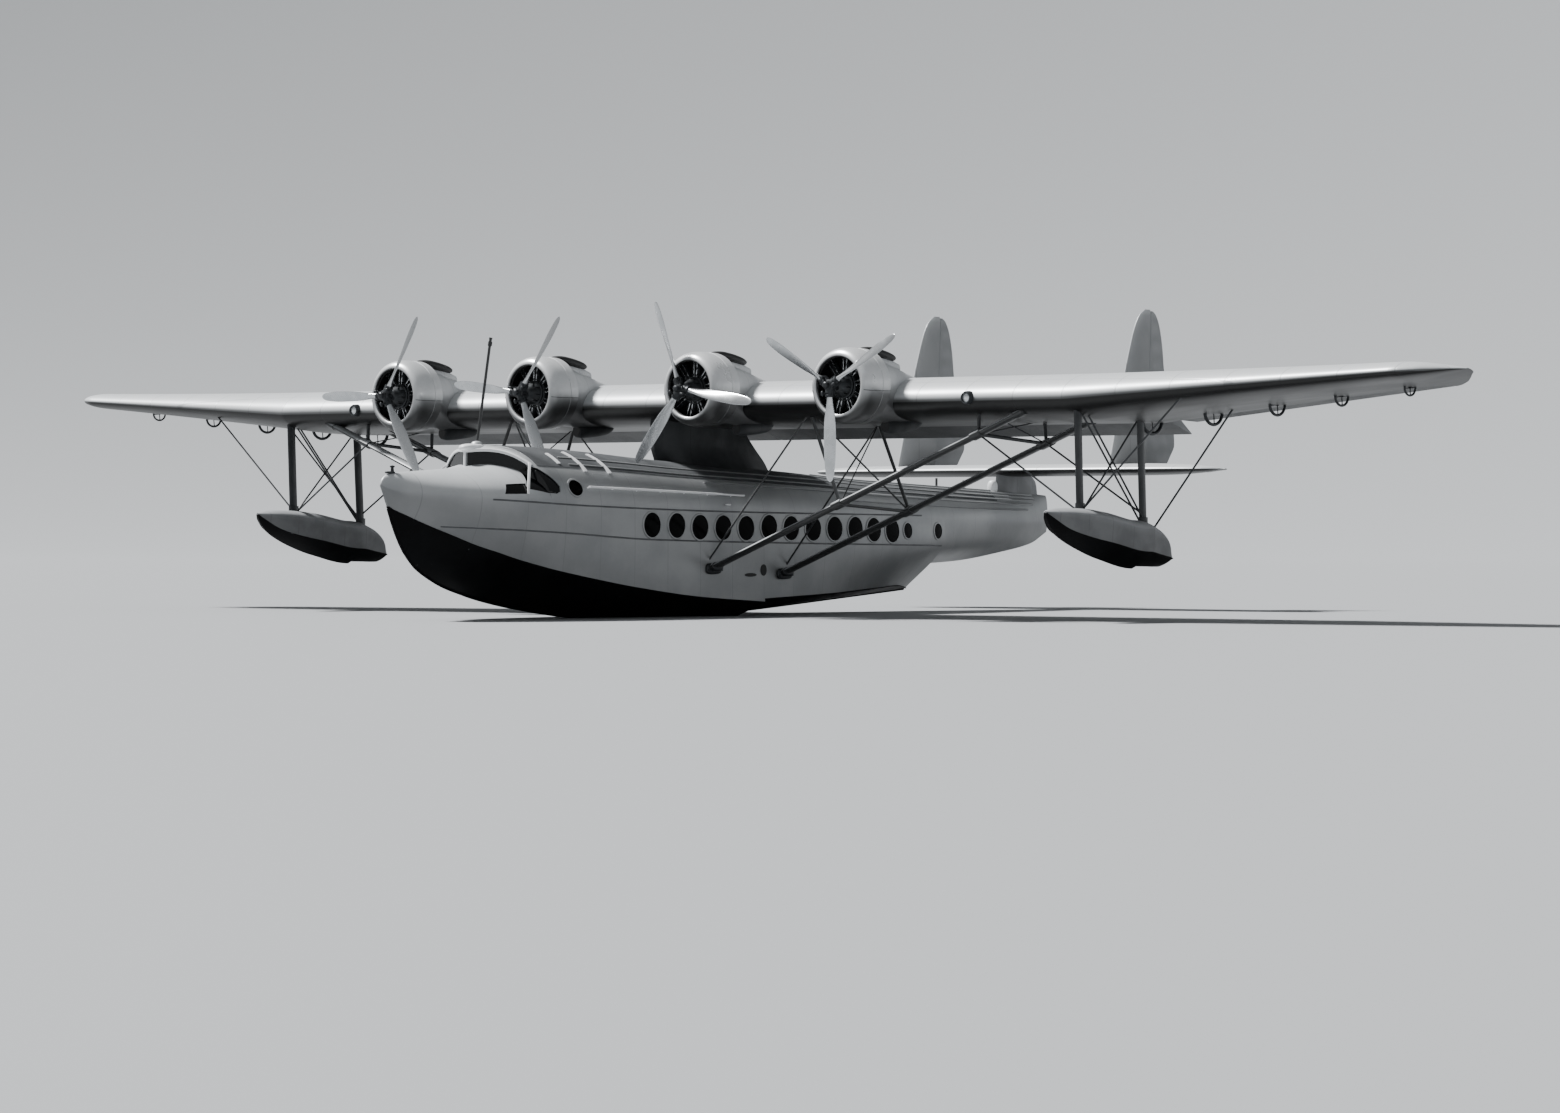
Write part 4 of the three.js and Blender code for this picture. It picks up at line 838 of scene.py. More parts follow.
# Small things on the hull. Rounded blocks are (middle, half sizes), and strut feet stand at (y, z) on the side.
smallThings = {
    "bollard": [(0.0, 0.0), (0.0, 0.035), (0.09, 0.026), (0.10, 0.045), (0.125, 0.045), (0.135, 0.0)],
    "bollardPlace": (0, -5.74, 2.68), "bollardPlate": ((0, -5.80, 2.685), (0.05, 0.11, 0.022)),
    "feet": ((1.39, 0.915), (3.46, 0.805)), "footX": (1.475, 1.53, 1.50), "footPlate": (0.045, 0.215, 0.105),
    "footBoss": (0.09, 0.15, 0.085), "footPin": (-0.21, 0.20, 0.05),  # pin: ends and width
    "step": ((1.465, 1.80, 2.125), (0.03, 0.07, 0.016)),
    # y, z, half sizes and height
    "drains": [(2.85, 0.88, 0.09, 0.11, 0.007), (2.47, 0.79, 0.17, 0.035, 0.010)], "drainFoot": -0.01,
    "posts": ((10.25, 2.70), (11.15, 2.66)), "postX": -0.22, "postFoot": 2.40, "postWide": 0.05,
    "fillet": ((0, 11.83, 2.52), (0.10, 0.10, 0.15)),
}


def makeSmallThings():
    s, white = smallThings, ("white enamel", "silver_paint")
    makePiece("bow_bollard", [turnedPart(s["bollard"], s["bollardPlace"], (0, 0, 1), 16),
                              roundPart(*s["bollardPlate"], 0.6, 10)], "dark enamelled iron", "strut_paint")
    feet, (plateX, bossX, pinX), (ahead, behind, wide) = [], s["footX"], s["footPin"]
    for y, z in s["feet"]:
        feet += [roundPart((plateX, y - 0.02, z), s["footPlate"], 0.6, 14),
                 roundPart((bossX, y, z + 0.03), s["footBoss"], 0.7, 14),
                 rodPart((pinX, y + ahead, z - 0.02), (pinX, y + behind, z - 0.02), wide, sides=12, wide=(0, 0, 1))]
    makePair("strut_foot", feet, "dark enamelled iron", "strut_paint")
    makePair("drain_slot", [loftPart([onSide(*place, g, 20) for g in (s["drainFoot"], high)])
                            for *place, high in s["drains"]], "sooted steel", "black_paint")
    makePair("side_step", [roundPart(*s["step"], 0.5, 8)], *white)
    x, foot, wide = s["postX"], s["postFoot"], s["postWide"]
    posts = [rodPart((x, y, foot), (x, y, top), wide, sides=10) for y, top in s["posts"]]
    makePiece("deck_posts", posts, "grey strut enamel", "strut_paint")
    makePiece("pedestal_fillet", [roundPart(*s["fillet"], 0.8, 12)], *white)


makeSmallThings()

# Cockpit: floor, two seats, coaming with its panel, and two wheels on their columns. Boxes are (low, high) corners.
cockpit = {
    "floor": ((-1.18, -3.85, 1.77), (1.18, -2.42, 1.80)),
    "seat": ((0.45, -2.78, 2.14), (0.22, 0.21, 0.07)), "back": ((0.45, -2.58, 2.42), (0.21, 0.06, 0.28)),
    "base": ((0.33, -2.90, 1.80), (0.57, -2.66, 2.10)),
    "panel": [((-0.80, -3.40, 2.30), (0.80, -3.36, 2.62)), ((-0.14, -3.36, 2.10), (0.14, -3.05, 2.30))],
    "dial": [(0.0, 0.0), (0.0, 0.042), (0.012, 0.042), (0.012, 0.0)], "dialZ": (2.40, 2.52), "dialY": -3.36,
    "dialX": (-0.62, -0.46, -0.30, -0.14, 0.02, 0.18, 0.34, 0.50, 0.66),
    "wheel": (0.45, -3.14, 2.38), "wheelHalf": (0.17, 0.05, 0.16), "rim": 0.013, "spoke": (0.16, 0.022),
    "column": ((0.45, -3.30, 1.80), (0.45, -3.16, 2.38)), "columnWide": 0.05,
}


def makeCockpit():
    c, lining = cockpit, ("dark green lining", "black_paint")
    makePiece("cockpit_floor", [boxPart(*c["floor"])], *lining)
    makePair("pilot_seat", [roundPart(*c["seat"], 0.5, 12), roundPart(*c["back"], 0.5, 12), boxPart(*c["base"])],
             "brown seat leather", "black_paint")
    makePiece("instrument_panel", [boxPart(*corners) for corners in c["panel"]], *lining)
    dials = [turnedPart(c["dial"], (x, c["dialY"], z), sides=20) for x in c["dialX"] for z in c["dialZ"]]
    makePiece("instrument_dials", dials, "white enamel", "silver_paint")
    turn, (x, y, z), (wide, deep, high) = fullTurn(28), c["wheel"], c["wheelHalf"]
    rim = pile(x + wide * np.cos(turn), y + deep * np.sin(turn), z + high * np.sin(turn))
    reach, spoke = c["spoke"]
    makePair("control_wheel", [tubePart(rim, c["rim"], 8, True, (0, 1, 0)),
                               rodPart(*c["column"], c["columnWide"], sides=10),
                               rodPart((x - reach, y, z), (x + reach, y, z), spoke, sides=8, wide=(0, 0, 1))],
             "dark enamelled iron", "strut_paint")


makeCockpit()
print("fittings and cockpit made")

# Wing: classic four-digit sections. Each row of stations runs out along the span.
wing = {
    "stations": [  # x, leading edge y, leading edge z, chord, thickness
        (9.90, 1.10, 4.020, 4.11, 0.200), (13.0, 1.41, 4.1822, 3.1752, 0.1762), (16.20, 1.73, 4.3495, 2.2103, 0.1515),
        (16.40, 1.75, 4.360, 2.15, 0.150), (16.75, 1.92, 4.380, 1.74, 0.145), (16.98, 2.13, 4.392, 1.27, 0.140),
        (17.17, 2.33, 4.400, 0.82, 0.130), (17.33, 2.50, 4.404, 0.44, 0.120), (17.40, 2.60, 4.404, 0.18, 0.110)],
    "camber": 0.035, "drop": 0.096, "centre": 9.90, "gap": 0.014, "foilPoints": 26, "plateGap": 0.03,
    "tipStart": 17.20, "tip": 17.40, "lipTurn": 112, "noseProud": 0.006, "noseLeast": 0.02, "pin": 0.05, 
    "arm": (0.20, 0.03),  # length, half width
}
flap = {"hinge": 0.80, "radius": 0.14, "droop": 20.0, "tail": 0.014, "inner": 0.012, "outer": 9.86, "sag": 0.003,
        # runs of the hinge's arms and pins: at the centre line, and at the outer end
        "midArm": (-0.007, 0.007), "midPin": (-0.07, 0.07), "endArm": (9.865, 9.9), "endPin": (9.80, 9.9)}
aileron = {"hinge": 0.78, "radius": 0.031, "tail": 0.012, "inner": 9.94, "outer": 16.34, "bend": 0.062,
           "hingeEnd": 16.4, "pins": ((9.91, 10.0), (16.28, 16.42)), "arm": (9.9, 9.935), "armBack": 0.18}
tailSlope = math.atan(wing["drop"] + wing["camber"] * 0.75)


def camberLine(s, camber):
    return np.where(s < 0.4, camber * (0.8 * s - s ** 2) / 0.16, camber * (0.2 + 0.8 * s - s ** 2) / 0.36)


def halfThickness(s, thick):
    # the four-digit thickness law, with a blunt tail
    return 5 * thick * (0.2969 * np.sqrt(s) - 0.126 * s - 0.3516 * s ** 2 + 0.2843 * s ** 3
                        - 0.1036 * s ** 4) + 0.0015 * s


def foilLoop(leadY, leadZ, chord, thick, end, camber, drop):
    # upper side from the share "end" of the chord forward to the nose, then the lower side back; one row a station
    u = 1 - np.cos(np.linspace(0, np.pi / 2, wing["foilPoints"]))
    s = end[:, None] * np.concatenate([u[::-1], u[1:]])[None, :]
    side = np.concatenate([np.ones(len(u)), -np.ones(len(u) - 1)])[None, :]
    t = camberLine(s, camber) + side * halfThickness(s, thick[:, None])
    return leadY[:, None] + s * chord[:, None], leadZ[:, None] + (t - s * drop) * chord[:, None]


def hingeAt(x, s):
    row = throughRows(wing["stations"], x)
    leadY, leadZ, chord = row[:, 0], row[:, 1], row[:, 2]
    return leadY + s * chord, leadZ + chord * (camberLine(np.asarray(s), wing["camber"]) - s * wing["drop"]), chord


def aileronHinge(x):
    # the hinge line runs straight between its two ends
    (y0,), (z0,), (c0,) = hingeAt(wing["centre"], aileron["hinge"])
    (y1,), (z1,), (c1,) = hingeAt(aileron["hingeEnd"], aileron["hinge"])
    share = (np.asarray(x, float) - wing["centre"]) / (aileron["hingeEnd"] - wing["centre"])
    return y0 + (y1 - y0) * share, z0 + (z1 - z0) * share, c0 + (c1 - c0) * share


def coveLip(lead, chord, thick, hinge, radius):
    # the share of the chord, and the turn about the hinge, at which the section's side meets the cove's circle:
    # found in steps, because the section thins towards its tail, and never below "lipTurn"
    least = math.radians(wing["lipTurn"])
    turn = np.full(len(chord), least)
    for _ in range(20):
        lip = np.clip((hinge + radius * np.cos(turn) - lead) / chord, 0.02, 0.98)
        half = halfThickness(lip, thick) * chord
        turn = np.pi - np.arcsin(np.clip(half / radius, 0.08, math.sin(np.pi - least)))
    return lip, turn


def noseRadius(lead, chord, thick, hinge, most):
    # a surface's nose is as thick as the fixed part ahead of it, and a little more
    half = halfThickness(np.clip((hinge - lead) / chord, 0.0, 1.0), thick) * chord
    return np.clip(half + wing["noseProud"], wing["noseLeast"], most)


def arcPoints(y, z, radius, turn, count):
    # a hollow arc from the lower lip round the front to the upper lip
    share = np.linspace(1, -1, count)[None, :]
    angle = np.pi + (np.pi - turn)[:, None] * share
    return y[:, None] + radius[:, None] * np.cos(angle), z[:, None] + radius[:, None] * np.sin(angle)


def spanLoft(x, y, z):
    return loftPart(pile(x[:, None], y, z))


def covePart(x, row, hy, hz, radius, camber, drop):
    # a wing whose section stops at the hinge in a hollow arc
    lead, leadZ, chord, thick = row.T
    lip, turn = coveLip(lead, chord, thick, hy, radius)
    y, z = foilLoop(lead, leadZ, chord, thick, lip, camber, drop)
    ay, az = arcPoints(hy, hz, radius, turn, 17)
    return spanLoft(x, np.concatenate([y, ay], 1), np.concatenate([z, az], 1))


def surfaceOutline(radius, length, tail, count, hollow):
    # a trailing surface about its hinge: a round nose and straight sides, sunk by hollow, to a blunt tail
    turn = np.radians(np.linspace(80, 280, count))[None, :]
    noseY, noseZ = radius[:, None] * np.cos(turn), radius[:, None] * np.sin(turn)
    share = np.linspace(1, 0, 9)[None, :-1]
    flatY = noseY[:, :1] + (length[:, None] - noseY[:, :1]) * share
    flatZ = noseZ[:, :1] + (tail / 2 - noseZ[:, :1]) * share - hollow[:, None] * np.sin(np.pi * share) ** 0.5
    return np.concatenate([flatY, noseY, flatY[:, ::-1]], 1), np.concatenate([flatZ, noseZ, -flatZ[:, ::-1]], 1)


def surfacePart(x, hy, hz, radius, length, tail, turnDown, pitch=0.36, sag=0.004):
    # between ribs the covering sinks by sag, with the square of a sine along the span
    y, z = surfaceOutline(radius, length, tail, 25, sag * np.sin(np.pi * (x - x[0]) / pitch) ** 2)
    c, s = math.cos(turnDown), math.sin(turnDown)
    return spanLoft(x, hy[:, None] + y * c + z * s, hz[:, None] + z * c - y * s)


def makeWing():
    silver = ("aluminium paint on wing sheet", "silver_paint")
    stations = throughRows(wing["stations"], [wing["centre"]])[0]
    (hy,), (hz,), (chord,) = hingeAt(wing["centre"], flap["hinge"])
    x = np.linspace(-wing["centre"], wing["centre"], 67)
    many = np.ones(len(x))
    centre = covePart(x, many[:, None] * stations, hy * many, hz * many, (flap["radius"] + wing["gap"]) * many,
                      wing["camber"], wing["drop"])
    back, half = wing["arm"]
    arm = lambda low, high: boxPart((low, hy - back, hz - half), (high, hy + half, hz + half))
    pin = lambda low, high: rodPart((low, hy, hz), (high, hy, hz), wing["pin"])
    hinges = [arm(*flap["midArm"]), pin(*flap["midPin"])] + both([arm(*flap["endArm"]), pin(*flap["endPin"])])
    makePiece("wing_centre_skin", [centre] + hinges, *silver, replaces=["wing_centre"])
    x = np.linspace(wing["centre"], aileron["outer"] + wing["plateGap"], 45)
    y0, z0, c0 = aileronHinge(x)
    radius = aileron["radius"] * c0
    outer = covePart(x, throughRows(wing["stations"], x), y0, z0, radius + wing["gap"], wing["camber"], wing["drop"])
    start = wing["tipStart"]
    xTip = np.concatenate([np.linspace(x[-1], start, 20), np.linspace(start + 0.02, wing["tip"], 10)])
    row = throughRows(wing["stations"], xTip)
    y, z = foilLoop(*row.T, np.ones(len(xTip)), wing["camber"], wing["drop"])
    tip = spanLoft(xTip, y, z)
    # the aileron's pins, and the arm at its inner end
    at = lambda x: (x, *(float(v) for v in aileronHinge(np.array(x))[:2]))
    _, y, z = at(aileron["pins"][0][0])
    low, high = aileron["arm"]
    hinges = [rodPart(at(a), at(b), wing["pin"]) for a, b in aileron["pins"]]
    hinges.append(boxPart((low, y - aileron["armBack"], z - half), (high, y + half, z + half)))
    makePair("wing_outer_skin", [outer, tip] + hinges, *silver, replaces=["wing_outer"])
    x = np.linspace(flap["inner"], flap["outer"], 110)
    many = np.ones(len(x))
    turnDown = math.radians(flap["droop"]) + tailSlope
    makePair("flap_skin", [surfacePart(x, hy * many, hz * many, flap["radius"] * many,
                                       (1 - flap["hinge"]) * chord * many, flap["tail"], turnDown, sag=flap["sag"])],
             "aluminium dope on fabric", "silver_paint", ("flaps", "flaps"), ["flap"])
    x = np.linspace(aileron["inner"], aileron["outer"], 90)
    y0, z0, c0 = aileronHinge(x)
    makePair("aileron_skin", [surfacePart(x, y0, z0, aileron["radius"] * c0, (1 - aileron["hinge"]) * c0,
                                          aileron["tail"], tailSlope + aileron["bend"])],
             "aluminium dope on fabric", "doped_fabric", ("aileron_port", "aileron_starboard"), ["aileron"])
    print("wing made")


makeWing()

# Aileron brackets: hoops that hang from the wing just ahead of the hinge, with two spokes and a boss. Sizes but
# the spokes' are shares of the chord, and the hoop's ends overlap.
bracket = {
    "x": (9.90, 11.37, 12.86, 14.33, 15.85), "ahead": 0.115, "long": 0.072, "deep": 0.058, "below": 0.040,
    "tube": 0.0085, "turn": (-190, 170), "spoke": 0.022, "spokes": ((2, 26), (14, 38)), "boss": 0.032 / 3,
    "bossHalf": 0.03,
}


def makeBrackets():
    parts = []
    for x in bracket["x"]:
        y, z, chord = (float(v) for v in aileronHinge(np.array(x)))
        y, z = y - bracket["ahead"] * chord, z - bracket["below"] * chord
        turn = np.radians(np.linspace(*bracket["turn"], 49))
        arc = pile(x, y + bracket["long"] * chord * np.cos(turn), z + bracket["deep"] * chord * np.sin(turn))
        parts.append(tubePart(arc, bracket["tube"] * chord * np.linspace(1.0, 0.9, 49), 10, up=(1, 0, 0)))
        parts += [rodPart(arc[a], arc[b], bracket["spoke"], sides=8) for a, b in bracket["spokes"]]
        half, wide = bracket["bossHalf"], bracket["boss"] * chord
        parts.append(rodPart((x - half, y, z), (x + half, y, z), wide, sides=14, wide=(0, 0, 1)))
    makePair("aileron_bracket", parts, "dark enamelled iron", "strut_paint")


makeBrackets()

# Landing lamps in the leading edge above the outer strut joints: profiles of (way aft, radius)
lamp = {
    "place": (7.79, 1.02, 4.035),
    "bowl": [(0.012, 0.0), (0.016, 0.045), (0.030, 0.084), (0.046, 0.084), (0.046, 0.0)],
    "shell": [(0.0, 0.085), (0.0, 0.105), (0.03, 0.12), (0.10, 0.126), (0.36, 0.126), (0.38, 0.0), (0.05, 0.0),
              (0.05, 0.085)],
}
makePair("lamp_housing", [turnedPart(lamp["shell"], lamp["place"], sides=32, closed=True)], "dark enamelled iron",
         "silver_paint")
makePair("lamp_lens", [turnedPart(lamp["bowl"], lamp["place"], sides=32)], "lamp lens", "window_glass")

# Tail: tailplane with three elevator pieces on one tube, twin fins and rudders, and the pedestal
tail = {
    "plane": [  # x, leading edge y, chord
        (0.0, 11.85, 2.10), (3.0, 11.93, 2.01), (3.8, 11.99, 1.90), (4.2, 12.02, 1.75), (4.5, 12.06, 1.52),
        (4.75, 12.11, 1.24), (4.96, 12.18, 0.98), (5.10, 12.29, 0.66), (5.17, 12.40, 0.40), (5.20, 12.48, 0.20)],
    "z": 2.87, "thick": 0.12, "hingeY": 13.10, "radius": 0.062, "tube": 0.028,
    "spans": ((-4.96, -3.29), (-2.25, 2.25), (3.29, 4.96)), "tail": 0.012,
    "fin": [  # z, leading edge y, trailing edge y
        (2.87, 12.105, 14.02), (3.15, 12.185, 14.24), (3.40, 12.26, 14.39), (4.93, 12.69, 14.03),
        (5.40, 12.85, 13.97), (5.82, 13.02, 13.87), (6.06, 13.19, 13.74), (6.17, 13.37, 13.58)],
    "finX": 2.76, "finThick": 0.10, "footY": 13.32, "lean": 0.083, "nose": 0.052,
    # runs of the tailplane with a cove for the elevators' nose, and runs without
    "coves": ((-4.99, -3.26), (-2.28, 2.28), (3.26, 4.99)),
    "whole": ((-5.20, -4.99), (-3.26, -2.28), (2.28, 3.26), (4.99, 5.20)),
    "tubeEnd": 3.39, "pin": ((2.9, 3.07), 0.05),  # pin: z from and to, diameter
    "finRows": ((2.885, 5.9, 40), (5.94, 6.165, 12)), "rudderRows": ((3.012, 5.9, 60), (5.94, 6.135, 10)),
    "least": (0.07, 0.03), "sag": 0.004, "ribPitch": 0.38,  # least: way from hinge to tail, elevator and rudder
}


def planeRow(x):
    row = throughRows(tail["plane"], np.abs(x))
    return row[:, 0], np.full(len(x), tail["z"]), row[:, 1], np.full(len(x), tail["thick"])


def elevatorNose(x):
    lead, _, chord, thick = planeRow(x)
    return noseRadius(lead, chord, thick, tail["hingeY"], tail["radius"])


def makeTail():
    parts, hingeY, z = [], tail["hingeY"], tail["z"]
    for ends in tail["coves"]:
        x = np.linspace(*ends, 40)
        many = np.ones(len(x))
        parts.append(covePart(x, np.stack(planeRow(x), -1), hingeY * many, z * many,
                              elevatorNose(x) + wing["gap"], 0.0, 0.0))
    for a, b in tail["whole"]:
        x = a + (b - a) * (1 - np.cos(np.linspace(0, np.pi, 13))) / 2
        parts.append(spanLoft(x, *foilLoop(*planeRow(x), np.ones(len(x)), 0.0, 0.0)))
    ends, wide = tail["pin"]
    for side in (-1, 1):
        parts.append(rodPart(*[(side * tail["finX"], rudderHinge(end), end) for end in ends], wide))
    makePiece("tailplane_skin", parts, "aluminium paint on wing sheet", "silver_paint", replaces=["tailplane"])
    parts = [rodPart((-tail["tubeEnd"], hingeY, z), (tail["tubeEnd"], hingeY, z), 2 * tail["tube"])]
    for a, b in tail["spans"]:
        x = np.linspace(a, b, 60)
        lead, height, chord, _ = planeRow(x)
        length = np.maximum(lead + chord - hingeY, tail["least"][0])
        parts.append(surfacePart(x, hingeY * np.ones(60), height, elevatorNose(x), length, tail["tail"], 0.0,
                                 pitch=(b - a) / 6))
    makePiece("elevator_skin", parts, "aluminium dope on fabric", "doped_fabric", "elevators", ["elevators"])


def rudderHinge(z):
    return tail["footY"] + (z - 3.0) * tail["lean"]


def finRow(runs):
    # heights, and the fin's leading edge, chord, thickness, hinge and nose radius at each
    z = np.concatenate([np.linspace(*run) for run in runs])
    lead, trail = throughRows(tail["fin"], z).T
    thick, hinge = np.full(len(z), tail["finThick"]), rudderHinge(z)
    return z, lead, trail - lead, thick, hinge, noseRadius(lead, trail - lead, thick, hinge, tail["nose"])


def makeFins():
    # sections at rising heights: the fin stops in a hollow arc, in which the rudder's nose turns
    z, lead, chord, thick, hinge, nose = finRow(tail["finRows"])
    radius, middle = nose + wing["gap"], np.full(len(z), tail["finX"])
    lip, turn = coveLip(lead, chord, thick, hinge, radius)
    y, x = foilLoop(lead, middle, chord, thick, lip, 0.0, 0.0)
    ay, ax = arcPoints(hinge, middle, radius, turn, 13)
    fin = loftPart(pile(np.concatenate([x, ax], 1), np.concatenate([y, ay], 1), z[:, None]))
    makePair("fin_skin", [fin], "aluminium paint on wing sheet", "silver_paint", replaces=["fin"])
    z, lead, chord, _, hinge, radius = finRow(tail["rudderRows"])
    length = np.maximum(lead + chord - hinge, tail["least"][1])
    sunk = tail["sag"] * np.sin(np.pi * (z - z[0]) / tail["ribPitch"]) ** 2
    y, x = surfaceOutline(radius, length, tail["tail"], 21, sunk)
    rudder = loftPart(pile(tail["finX"] + x, hinge[:, None] + y, z[:, None]))
    makePair("rudder_skin", [rudder], "aluminium dope on fabric", "doped_fabric",
             ("rudder_port", "rudder_starboard"), ["rudder"])


makeTail()
makeFins()

# Streamlined supports: plans at rising heights, each with its nose, tail and half width
pylon = {
    "plans": [  # z, nose y, tail y, half width
        (2.25, 1.80, 5.10, 1.06), (2.60, 1.64, 4.80, 0.84), (2.95, 1.48, 4.56, 0.52), (3.25, 1.33, 4.25, 0.42),
        (3.60, 1.33, 3.96, 0.42), (4.00, 1.40, 3.90, 0.42)],
    "pedestal": [(2.30, 11.90, 13.35, 0.15), (2.60, 11.95, 13.30, 0.13), (2.73, 11.97, 13.19, 0.126),
                 (2.81, 11.98, 13.02, 0.123), (2.90, 12.00, 13.02, 0.12)],
    "shape": [(0, 0), (0.012, 0.24), (0.05, 0.5), (0.16, 0.88), (0.36, 1), (0.6, 0.84), (0.82, 0.45), (1, 0.04)],
}


def planPart(plans, count):
    z = np.linspace(plans[0][0], plans[-1][0], count)
    row = throughRows(plans, z)
    s = (1 - np.cos(np.linspace(0, np.pi, 33))) / 2
    t = throughRows(pylon["shape"], s)[:, 0]
    s, t = np.concatenate([s, s[-2:0:-1]]), np.concatenate([t, -t[-2:0:-1]])
    x = row[:, 2:] * t
    y = row[:, :1] + (row[:, 1:2] - row[:, :1]) * s
    return loftPart(pile(x, y, z[:, None]))


makePiece("pylon_skin", [planPart(pylon["plans"], 24)], "sooted aluminium paint", "silver_paint",
          replaces=["wing_pylon"])
makePiece("pedestal_skin", [planPart(pylon["pedestal"], 8)], "dulled aluminium paint on float sheet", "silver_paint",
          replaces=["tail_pedestal"])
print("tail and pylon made")

# Engines: numbered 1 to 4 from starboard to port, each with nacelle, cowl, nine finned cylinders and a propeller
engine = {
    "x": (-5.65, -2.04, 2.04, 5.65), "thrustZ": 4.27, "cylinders": 9, "cylinderY": 0.31,
    "startTurn": (30, 36, -21, 60),
    # profiles round the shaft, of way aft of the cowl's mouth and radius
    "outer": [(0.0, 0.555), (0.003, 0.578), (0.015, 0.60), (0.040, 0.634), (0.075, 0.66), (0.13, 0.682),
              (0.20, 0.696), (0.30, 0.701), (0.42, 0.700), (0.452, 0.6985), (0.456, 0.690), (0.470, 0.690),
              (0.474, 0.6975), (0.58, 0.693), (0.68, 0.688)],
    "inner": [(0.68, 0.66), (0.215, 0.66), (0.13, 0.60), (0.08, 0.54), (0.04, 0.522), (0.014, 0.525), (0.003, 0.538)],
    "liner": [(0.672, 0.657), (0.22, 0.657), (0.135, 0.597), (0.085, 0.537), (0.075, 0.53), (0.085, 0.52),
              (0.15, 0.58), (0.24, 0.648), (0.672, 0.648)],
    "nose": [(0.48, 0.0), (0.48, 0.36), (0.45, 0.37), (0.42, 0.27), (0.21, 0.268), (0.20, 0.235), (0.15, 0.235),
             (0.14, 0.215), (0.08, 0.19), (0.06, 0.175), (0.03, 0.165), (0.0, 0.135), (-0.035, 0.125),
             (-0.06, 0.105), (-0.065, 0.046), (-0.155, 0.045), (-0.155, 0.0)],
    "harness": [(0.155, 0.262), (0.165, 0.276), (0.18, 0.272), (0.17, 0.258)],
    "rear": [(0.45, 0.0), (0.45, 0.38), (0.64, 0.38), (0.64, 0.0)],
    "baffle": [(0.40, 0.26), (0.40, 0.645), (0.43, 0.645), (0.43, 0.26)],
    # a strip on each side hides the joint between the cowl's halves: height, radius and degrees from the top
    "strip": (0.002, 0.007), "stripTurn": 98,
    # crankcase bolt: way aft, radius from the axis, width, and its turn from the cylinder
    "bolt": (0.12, 0.20, 0.022), "boltTurn": 0.35,
    # ovals across, of y, half width, top z and bottom z; the outlet is black and lies over the nacelle
    "nacelle": [(0.64, 0.60, 4.87, 3.67), (0.82, 0.53, 4.83, 3.655), (1.05, 0.45, 4.77, 3.64),
                (1.35, 0.385, 4.69, 3.62), (1.70, 0.32, 4.60, 3.60), (2.30, 0.23, 4.44, 3.60),
                (2.80, 0.10, 4.33, 3.70)],
    "outlet": [(0.70, 0.06, 4.965, 4.91), (0.76, 0.12, 4.99, 4.885), (0.90, 0.155, 4.995, 4.85),
               (1.10, 0.16, 4.975, 4.80), (1.32, 0.15, 4.935, 4.76), (1.50, 0.12, 4.89, 4.74),
               (1.60, 0.07, 4.85, 4.755)],
    "stem": [(0.92, 0.06, 4.80, 4.55), (1.14, 0.10, 4.84, 4.55), (1.40, 0.11, 4.80, 4.50), (1.75, 0.05, 4.70, 4.50)],
    "scoop": [(1.38, 0.105, 3.67, 3.440), (1.50, 0.140, 3.73, 3.415), (1.85, 0.138, 3.75, 3.44),
              (2.25, 0.115, 3.76, 3.50), (2.46, 0.045, 3.75, 3.63)],
    "mouth": [(1.372, 0.088, 3.655, 3.455), (1.40, 0.093, 3.66, 3.452)],
    # one cylinder: its fins and where each fin's section steps, then places of (x, way ahead, height)
    "fins": 17, "barrelFins": 10, "finRoot": 0.19, "finPitch": 0.0245, "finDeep": 0.016, "finRadii": (0.068, 0.080),
    "finRise": (0.0, 0.006, 0.013, 0.017), "headFoot": [(0.18, 0.0)], "headTop": [(0.625, 0.05), (0.64, 0.0)],
    "rocker": (0.045, 0.055, 0.60), "rockerReach": (0.028, 0.05, 0.036),
    "pushrod": ((0.030, 0.11, 0.235), (0.048, 0.085, 0.585)), "pushrodWide": 0.019,
    "lead": ((0.012, 0.14, 0.26), (0.06, 0.12, 0.40), (0.075, 0.06, 0.50)), "leadRadius": 0.007,
}
